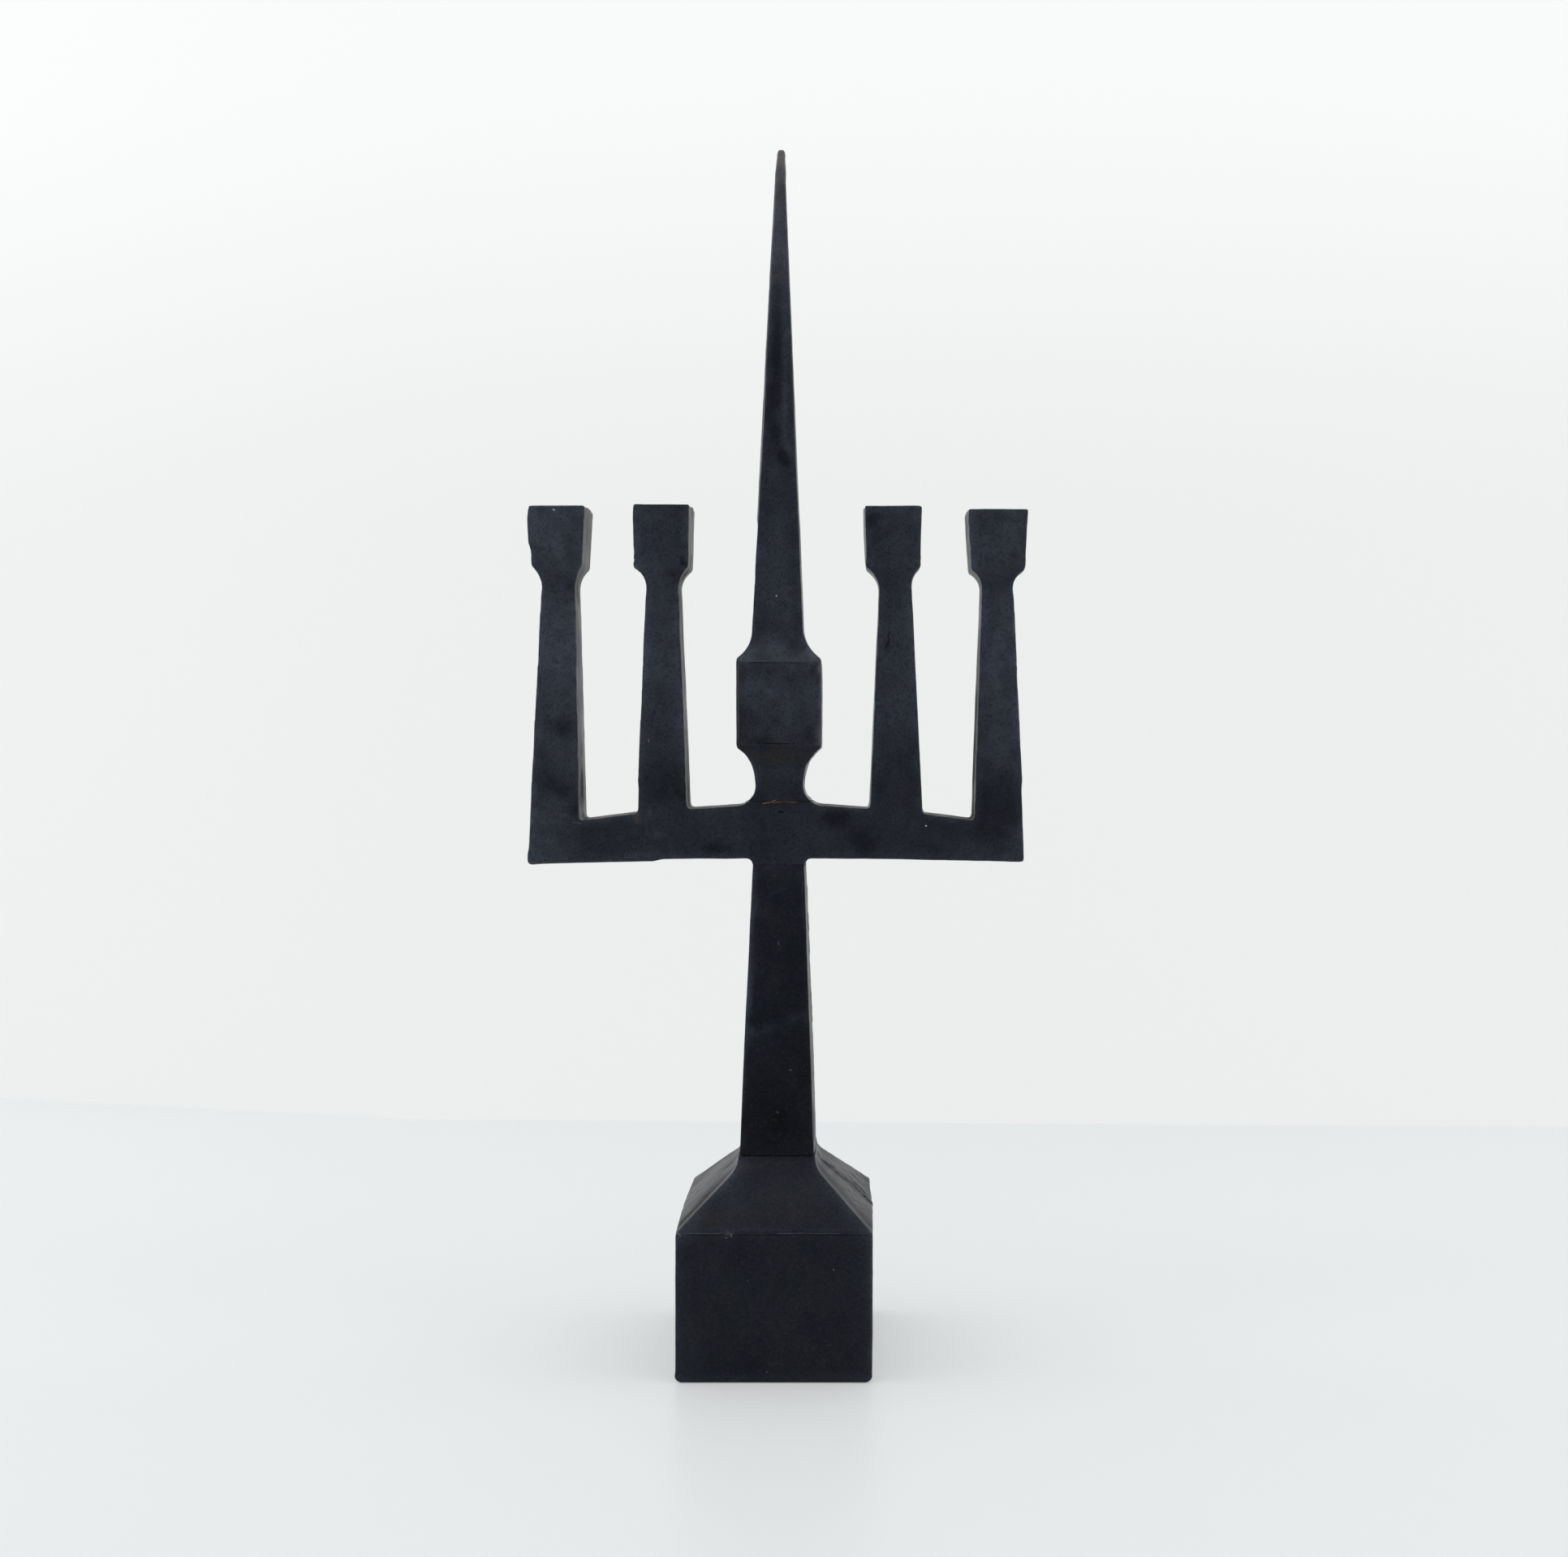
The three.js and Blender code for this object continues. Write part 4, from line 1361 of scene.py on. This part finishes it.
@dataclass(frozen=True)
class Cove:
    """A floor and a wall of pale paper, which meet in a slightly bent line behind the object."""

    near: float = -0.45
    height: float = 2.6
    line: tuple[tuple[float, float], ...] = (
        (-2.60, 0.900),
        (-0.65, 0.518),
        (-0.316, 0.452),
        (0.168, 0.438),
        (0.56, 0.430),
        (2.60, 0.390),
    )

    def build(self) -> None:
        """Makes the floor up to the line and the wall that stands on it."""
        line = [(x, y, 0.0) for x, y in self.line]
        near = [(x, self.near, 0.0) for x, _ in self.line]
        top = [(x, y, self.height) for x, y in self.line]
        self._sheet("floor", near, line, FLOOR_PAPER)
        self._sheet("wall", line, top, WALL_PAPER)

    @staticmethod
    def _sheet(name: str, first: list[Place], second: list[Place], paper: StudioPaper) -> None:
        """Makes a sheet between two rows of places.

        Args:
            name: the sheet's name.
            first: one edge, from left to right.
            second: the other edge, with as many places.
            paper: its finish.
        """
        count = len(first)
        faces = [(i, i + 1, count + i + 1, count + i) for i in range(count - 1)]
        mesh = bpy.data.meshes.new(name)
        mesh.from_pydata([*first, *second], [], faces)
        mesh.shade_smooth()
        mesh.materials.append(paper.material())
        add_piece(name, mesh)


@dataclass(frozen=True)
class Studio:
    """Plain soft light, the paper cove and the camera."""

    world: float = 0.58
    world_seen: float = 0.82
    lamps: tuple[SoftBox, ...] = (
        SoftBox("top_box", (0.0, -0.1, 2.4), (0.0, 0.0, 0.0), (3.0, 2.0), 12.0),
        SoftBox("left_box", (-1.5, -0.05, 1.35), (0.0, 0.05, 0.1), (1.2, 1.2), 10.4),
        SoftBox("right_box", (1.5, -0.05, 1.35), (0.0, 0.05, 0.1), (1.2, 1.2), 9.2),
    )

    def build(self) -> None:
        """Sets up the light, the cove, the camera and the view."""
        PhotoCamera().build()
        Cove().build()
        for lamp in self.lamps:
            lamp.build()
        world = bpy.data.worlds.new("studio")
        world.use_nodes = True
        background = world.node_tree.nodes["Background"]
        background.inputs["Color"].default_value = (1.0, 1.0, 1.0, 1.0)
        graph = Graph(world.node_tree)
        seen = graph.add("LightPath").outputs["Is Camera Ray"]
        strength = graph.maths("MULTIPLY_ADD", seen, self.world_seen - self.world, self.world)
        graph.feed(background.inputs["Strength"], strength)
        bpy.context.scene.world = world
        bpy.context.scene.view_settings.view_transform = "Standard"


# Marks of this one candelabra, with painted light and shade among them, in millimetres


# The base: a chipped front edge and a lumpy, slumped right shoulder, with painted light and shade on
# its shoulders and front edges
BASE_FLASHES = (
    Flash(Side.RIGHT, 64, 100, 1.2, 1.6, 4.5),
    Flash(Side.LEFT, 66, 99, 0.5, 1.4, 7),
)
BASE_DENTS: Marks = (
    Patch((44.5, 26, 72), (6, 26, 8), -0.9),
    Patch((44, -2, 77), (5, 12, 5), -0.8),
    Patch((40, 12, 82), (5, 6, 5), 0.6),
    Patch((33, 6, 90), (5, 5, 4), 0.5),
    Patch((27, 14, 95), (5, 8, 4), -0.5),
    Streak((-43.6, -46.2, 1), (43.6, -46.2, 1), 1.8, 1.3),
    Streak((22, 2, 97), (45, 3, 73.5), 1.3, -0.5),
    Patch((27.5, 2.5, 88.5), (3, 3, 2.6), -0.8),
    Patch((33.6, 2.5, 83.2), (3.4, 3, 3), -0.9),
    Patch((39.4, 2.5, 78.4), (3, 3, 2.6), -0.8),
    Patch((44.6, 2.5, 74.2), (3, 3, 2.6), -0.8),
    Streak((24, 9, 95), (44, 11, 75), 1.6, 0.4),
    Streak((30, 20, 89), (44, 22, 75), 2, -0.4),
    Streak((-22, 4, 97), (-44, 6, 75), 1.6, -0.2),
    Patch((-45, -46.5, 70.6), (2.2, 2, 1.6), -0.6),
    Patch((-24.5, -46.5, 70.8), (3, 2, 1.2), -0.5),
    Patch((-20.4, -46.5, 70.4), (1.4, 2, 1.6), -0.6),
    Streak((-13, -46.7, 70.7), (1, -46.7, 70.4), 0.7, -0.35),
    Patch((14, -46.5, 71), (5, 2, 1.2), -0.35),
    Patch((36, -46.5, 71), (3, 2, 1.2), -0.35),
    Patch((-47.4, -46.5, 3), (2.5, 3, 3), 0.4),
)
# Painted light and shade: on the shoulder sides, paler bands along the parting line and the front
# hips with darker bands between them, dark lines beside the parting lines, painted shade in the
# hollows between the right shoulder's lumps, and painted highlights down the front's upright edges.
# Faint patches pale the paint.
BASE_BLOOM_STAIN_AND_PAINTED_LIGHT: Marks = (
    Patch((0, -34, 86), (50, 24, 16), 0.08),
    Streak((-20, -21, 97), (-44, -45, 73), 7, 0.42),
    Streak((22, -24, 95), (44, -45, 73), 6, 0.2),
    Patch((-8, -47, 40), (16, 5, 18), 0.05),
    Streak((22, 1, 97), (46, 2, 73), 1, -0.5),
    Patch((27.5, 2, 88.5), (2.5, 3.5, 2.2), -0.9),
    Patch((33.6, 2, 83.2), (3, 3.5, 2.4), -0.9),
    Patch((39.4, 2, 78.4), (2.6, 3.5, 2.2), -0.9),
    Patch((44.6, 2, 74.2), (2.6, 3.5, 2.2), -0.9),
    Streak((24, -6, 96), (47, -8, 73), 6, 0.6),
    Streak((26, -12, 92), (46, -34, 74), 7, 0.1),
    Streak((-22, 6, 97), (-42, 6, 78), 1.6, -0.2),
    Streak((-21, -3, 97), (-45, -5, 76), 10, 0.9),
    Streak((-22, -14, 96), (-45, -36, 73), 6, -0.6),
    Streak((24, -14, 95), (46, -36, 73), 6, -0.5),
    Patch((-22, -34, 85), (10, 14, 10), 0.14),
    Patch((-45, -48, 40), (12, 6, 60), 0.16),
    Patch((46, -48, 40), (12, 6, 60), 0.16),
    Streak((-47.6, -46.5, 2), (-46.9, -46.5, 70), 1.3, 0.4),
    Streak((47.4, -46.5, 2), (47, -46.5, 70), 1.6, 0.5),
)
BASE_TINT: Marks = (
    Patch((-26.8, -42, 76.8), (9, 9, 6), 0.16),
    Patch((8, -40, 82), (26, 12, 10), 0.1),
    Patch((34, 10, 86), (16, 30, 14), 0.25),
    Patch((-34, 4, 86), (16, 30, 14), 0.22),
)
# Chips on the front's top edge, and painted highlights along the upper shoulder sides.
BASE_WEAR_AND_HIGHLIGHT: Marks = (
    Streak((-46.2, -46, 71), (-43.6, -46.4, 70.4), 0.7, 0.35),
    Streak((-24, -46.4, 71), (-19.5, -46.4, 70.6), 0.6, 0.25),
    Streak((-21, -3, 97), (-45, -5, 76), 8, 0.22),
    Streak((24, -4, 96), (46, -6, 74), 5, 0.28),
)
# The stem: the darkest of the castings, with painted shade low on its front and a painted reflection
# down its right side
STEM_FLASHES = (Flash(Side.RIGHT, 112, 232, 0.3, 2, 5),)
# Paler marks on the front and a paler streak down its left front edge, a painted reflection down its
# right side, and painted shade low on its front.
STEM_BLOOM_STAIN_AND_PAINTED_LIGHT: Marks = (
    Patch((-7, -17, 152), (10, 8, 16), 0.42),
    Streak((-11, -17, 161), (13, -17, 168), 4.5, 0.34),
    Patch((-9, -16, 200), (5, 8, 13), 0.14),
    Patch((4, -18, 112), (12, 8, 7), -0.2),
    Patch((6, -17, 141), (5, 8, 8), 0.15),
    Patch((1, -14, 244), (20, 10, 8), 0.12),
    Patch((8, -16, 196), (6, 8, 20), -0.25),
    Streak((-12.8, -13.5, 236), (-15, -16, 172), 3, 0.45),
    Streak((-15, -16, 184), (-17.8, -18.5, 104), 2.8, 0.55),
    Patch((1, -17, 160), (9, 8, 8), 0.2),
    Patch((17.5, -1, 122), (4, 10, 30), 0.9),
    Patch((0, -17, 138), (40, 12, 60), -0.5),
    Patch((0, -17, 112), (30, 12, 24), -0.35),
)
# The candle frame: arms and cups painted paler for the light on them, a painted reflection along the
# bar's top, and a few stains
# A painted reflection along the bar's top.
FRAME_PAINTED_HIGHLIGHT: Marks = (Patch((-85, -4, 267), (13, 9, 3.5), 0.5),)
FRAME_DENTS: Marks = (
    Streak((-119.5, -11, 376), (-122.8, -11, 248), 4, 1),
    Streak((-67, -11, 374), (-70, -11, 285), 4, 0.6),
    Streak((-48, 0, 374), (-44.4, 0, 285), 5, 0.5),
    Streak((98.5, 0, 340), (98, 0, 284), 5, 0.45),
    Streak((118, -11, 374), (121.6, -11, 285), 4, 0.65),
    Streak((-122.8, -13, 414), (-121.8, -13, 403), 4, 1),
    Streak((-71, -13, 414), (-70, -13, 400), 4, 0.6),
    Patch((-70, -13, 390.5), (4, 6, 4), 1.1),
    Patch((43.6, -13, 390.5), (4, 6, 4), 0.6),
    Patch((70.5, -13, 390.5), (4, 6, 4), 0.5),
    Patch((122.5, -13, 391), (4, 6, 4), 0.4),
    Streak((-122, -11.5, 244.6), (-62, -11.5, 245.6), 4, 1),
    Patch((-41.5, 0, 408), (4, 18, 18), 0.7),
    Patch((43, 0, 408), (4, 18, 18), 0.35),
    Patch((94, 0, 408), (4, 18, 18), 0.45),
    Patch((-122, -9, 399), (2, 6, 3), -0.7),
    Patch((-124, -12, 420), (3, 8, 3), -0.6),
    Patch((2, -12.5, 268.6), (0.9, 2, 0.9), -0.5),
    Patch((122.6, -6, 243.6), (1.8, 20, 1.8), -0.6),
)
# Arms and cups painted paler for the light on them, a painted reflection along the bar's top, darker
# patches on the arms' sides, and smaller paler and darker patches.
FRAME_BLOOM_STAIN_AND_PAINTED_LIGHT: Marks = (
    Patch((-83, -12, 365), (60, 20, 95), 0.68),
    Patch((-110, -14, 405), (16, 10, 24), 0.6),
    Patch((85, -12, 365), (60, 20, 95), 0.66),
    Patch((111, -13, 340), (14, 20, 90), 0.48),
    Patch((-99, -12, 270), (4, 6, 6), -0.5),
    Patch((-116, -12.5, 258), (18, 9, 30), 0.42),
    Patch((120, -12.5, 252), (10, 9, 14), 0.35),
    Patch((119, -13, 412), (6, 8, 14), 0.3),
    Patch((112, -14, 404), (24, 10, 26), 0.3),
    Patch((-108, -14, 418), (24, 10, 10), 0.38),
    Patch((123, -13, 345), (7, 10, 50), 0.2),
    Patch((-97.5, -3, 280), (6, 8, 26), -0.9),
    Patch((98, -3, 306), (6, 8, 74), -0.8),
    Patch((-44.5, -3, 276), (5, 8, 10), -0.8),
    Patch((-101.5, -3, 378), (5, 8, 14), -0.9),
    Patch((-48, -3, 388), (5, 8, 9), -0.9),
    Patch((95.5, -3, 411), (4, 8, 14), -0.6),
    Patch((105, -13, 391), (7, 6, 6), -0.25),
    Patch((-75, -3, 269.5), (28, 8, 4), 0.9),
    Patch((-116, -12.5, 250), (10, 6, 8), 0.15),
    Patch((33, -12.5, 262), (10, 6, 9), -0.12),
    Patch((94, -12.5, 250), (22, 6, 10), 0.25),
    Patch((-109.7, -13, 377), (8, 8, 12), 0.18),
    Patch((-112.6, -13, 313), (8, 8, 16), 0.22),
    Patch((-104, -13, 330), (8, 8, 14), -0.12),
    Patch((-56, -13, 336), (12, 8, 22), -0.12),
    Patch((115, -13, 362), (8, 8, 34), 0.18),
    Patch((-44.5, -13, 416), (6, 8, 8), 0.25),
    Patch((-53, -13, 259), (12, 8, 7), -0.1),
    Patch((58, -13, 330), (14, 10, 70), 0.13),
    Patch((1, -12.5, 262), (120, 8, 18), 0.06),
    Patch((1, -12.5, 258), (18, 8, 12), -0.14),
    Patch((-58, -14, 417), (16, 8, 6), 0.25),
    Patch((58, -14, 417), (16, 8, 6), 0.25),
    Patch((-121, -14, 414), (6, 8, 12), 0.3),
    Patch((-110, -12, 340), (14, 20, 50), 0.35),
    Patch((0, -12.5, 258), (140, 20, 30), 0.24),
    Patch((-107.5, -11, 310.4), (7, 9, 7), -0.45),
    Patch((-105.9, -11.5, 279.7), (7, 9, 6), -0.3),
    Patch((-58.8, -12.5, 257.8), (4, 5, 2.5), 0.35),
    Patch((29, -12.5, 266.5), (9, 5, 4), -0.4),
    Patch((42, -12.5, 256), (8, 5, 6), -0.42),
    Patch((109.3, -12.5, 258.6), (7, 5, 7), -0.15),
    Patch((-30, -12.5, 250.5), (7, 5, 4), -0.35),
    Patch((46.4, -14, 413.5), (6, 5, 6), -0.4),
    Patch((54.8, -10, 353), (2, 5, 5), -0.25),
)
FRAME_TINT: Marks = (
    Patch((-43.5, -6, 387.7), (4, 10, 5), 0.8),
    Patch((-94, -6, 383), (4, 10, 6), 0.6),
    Patch((96.5, -6, 384.6), (4, 10, 6), 0.7),
    Patch((2, -12.5, 268.6), (1.5, 4, 1.5), 0.2),
)
# The spire: blunt along the spike's edges and worn grey at its tip, with painted light and shade on
# the cube and the spike
SPIRE_DENTS: Marks = (
    Patch((1.6, 0, 600.7), (5, 5, 6), 0.45),
    Streak((-1.2, 0, 588), (-10.6, 0, 416), 5, 0.95),
    Patch((-12, -9, 288), (5, 12, 10), 0.7),
    Patch((14.5, 0, 288), (5, 16, 9), 0.9),
    Patch((22.3, 0, 322), (3, 26, 24), 0.4),
    Patch((21.5, 0, 345), (4, 20, 3), -0.7),
    Patch((18, 0, 296), (4, 20, 4), 0.5),
)
# The cube's front and top corners and the spike painted paler for the light on them, with a darker
# band down the spike's middle, painted shade low on the cube's front, and smaller darker patches.
SPIRE_BLOOM_STAIN_AND_PAINTED_LIGHT: Marks = (
    Patch((1, -20, 322), (30, 12, 30), 0.48),
    Patch((1.4, -21, 313), (12, 6, 11), -0.28),
    Patch((1, -16, 350), (30, 20, 16), 0.34),
    Patch((0, -13, 286), (24, 14, 20), 0.3),
    Patch((-17, -18, 347), (7, 12, 7), 0.7),
    Patch((18.5, -18, 347), (7, 12, 8), 0.95),
    Patch((7, -21, 312), (11, 8, 8), 0.25),
    Patch((16.5, -21, 334), (6, 8, 9), 0.22),
    Patch((-4, -8, 470), (5, 6, 20), -0.25),
    Patch((0, -14, 360), (9, 8, 8), -0.25),
    Patch((0, -21, 338), (11, 8, 9), -0.28),
    Patch((-8, -21, 304), (8, 8, 5), -0.2),
    Patch((-16, -21, 327), (6, 8, 12), 0.16),
    Patch((20, -20, 316), (5, 8, 18), 0.2),
    Patch((0, -10, 390), (20, 12, 60), 0.58),
    Patch((1, -8, 480), (20, 12, 60), 0.3),
    Streak((-1, -6, 456), (0.2, -4, 545), 3, -0.4),
    Streak((4, -8, 450), (3.2, -5, 520), 1.6, 0.3),
    Patch((2.3, -7, 446.5), (3, 8, 6), -0.8),
    Patch((0, -5, 560), (10, 10, 50), 1),
)
SPIRE_TINT: Marks = (
    Patch((0, -16, 297), (16, 14, 7), 0.35),
    Patch((-17, -14, 300), (5, 14, 6), 0.45),
)
# The tip worn grey, painted highlights down the cube's upright front edges, and patches that pale the
# paint.
SPIRE_WEAR_AND_HIGHLIGHT: Marks = (
    Patch((1.6, 0, 602), (8, 8, 23), 0.9),
    Patch((18.5, -17, 348), (6, 10, 6), 0.14),
    Patch((-17, -17, 348), (6, 10, 6), 0.07),
    Patch((1.4, 0, 560), (8, 8, 44), 0.14),
    Patch((21.6, -20.6, 340), (2, 2, 4), 0.35),
    Patch((21.6, -20.6, 306), (2, 2, 5), 0.35),
    Streak((-19.4, -20.6, 305), (-19.4, -20.6, 341), 0.9, 0.22),
    Streak((21.9, -20.6, 304), (21.9, -20.6, 341), 0.9, 0.22),
)


# Assembly


def make_castings() -> tuple[Casting, ...]:
    """Describes the castings.

    Returns:
        All four, from the base up.
    """
    foot = contact("base_block", "stem")
    head = contact("stem", "candle_frame")
    seat = contact("candle_frame", "spire")
    low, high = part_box("base_block")
    rim = Seam(low.z, (0.0, 0.0), (high.x, high.y))
    base = Casting(
        "base_block",
        0.95,
        (foot, rim),
        chip_share=0.2,
        dents=BASE_DENTS,
        flashes=BASE_FLASHES,
        bloom_stain_and_painted_light=BASE_BLOOM_STAIN_AND_PAINTED_LIGHT,
        tint=BASE_TINT,
        wear_and_highlight=BASE_WEAR_AND_HIGHLIGHT,
    )
    stem = Casting(
        "stem",
        0.58,
        (foot, head),
        fold_rounding=10,
        flashes=STEM_FLASHES,
        bloom_stain_and_painted_light=STEM_BLOOM_STAIN_AND_PAINTED_LIGHT,
    )
    candle_frame = Casting(
        "candle_frame",
        1.0,
        (head, seat),
        fold_rounding=14,
        dents=FRAME_DENTS,
        bloom_stain_and_painted_light=FRAME_BLOOM_STAIN_AND_PAINTED_LIGHT,
        tint=FRAME_TINT,
        wear_and_highlight=FRAME_PAINTED_HIGHLIGHT,
    )
    spire = Casting(
        "spire",
        0.6,
        (seat,),
        blunt=(400.0, 598.0, 8),
        fold_rounding=8,
        dents=SPIRE_DENTS,
        bloom_stain_and_painted_light=SPIRE_BLOOM_STAIN_AND_PAINTED_LIGHT,
        tint=SPIRE_TINT,
        wear_and_highlight=SPIRE_WEAR_AND_HIGHLIGHT,
    )
    return base, stem, candle_frame, spire


def main() -> None:
    """Builds the studio, then dresses every piece of the candelabra."""
    logging.basicConfig(level=logging.INFO, format="%(name)s: %(message)s")
    Studio().build()
    effects = SharedEffects()
    iron = PaintedIron().material(effects)
    for casting in make_castings():
        casting.build(iron)
    zinc = ZincPlate().material(effects)
    for part in frame["record"]["subparts"]:
        if part["material_slot"] == Slot.STEEL.value:
            Fastening(part["node"]).dress(zinc)
    FeltPad().build(WoolFelt().material(effects))


if __name__ == "__main__":
    main()
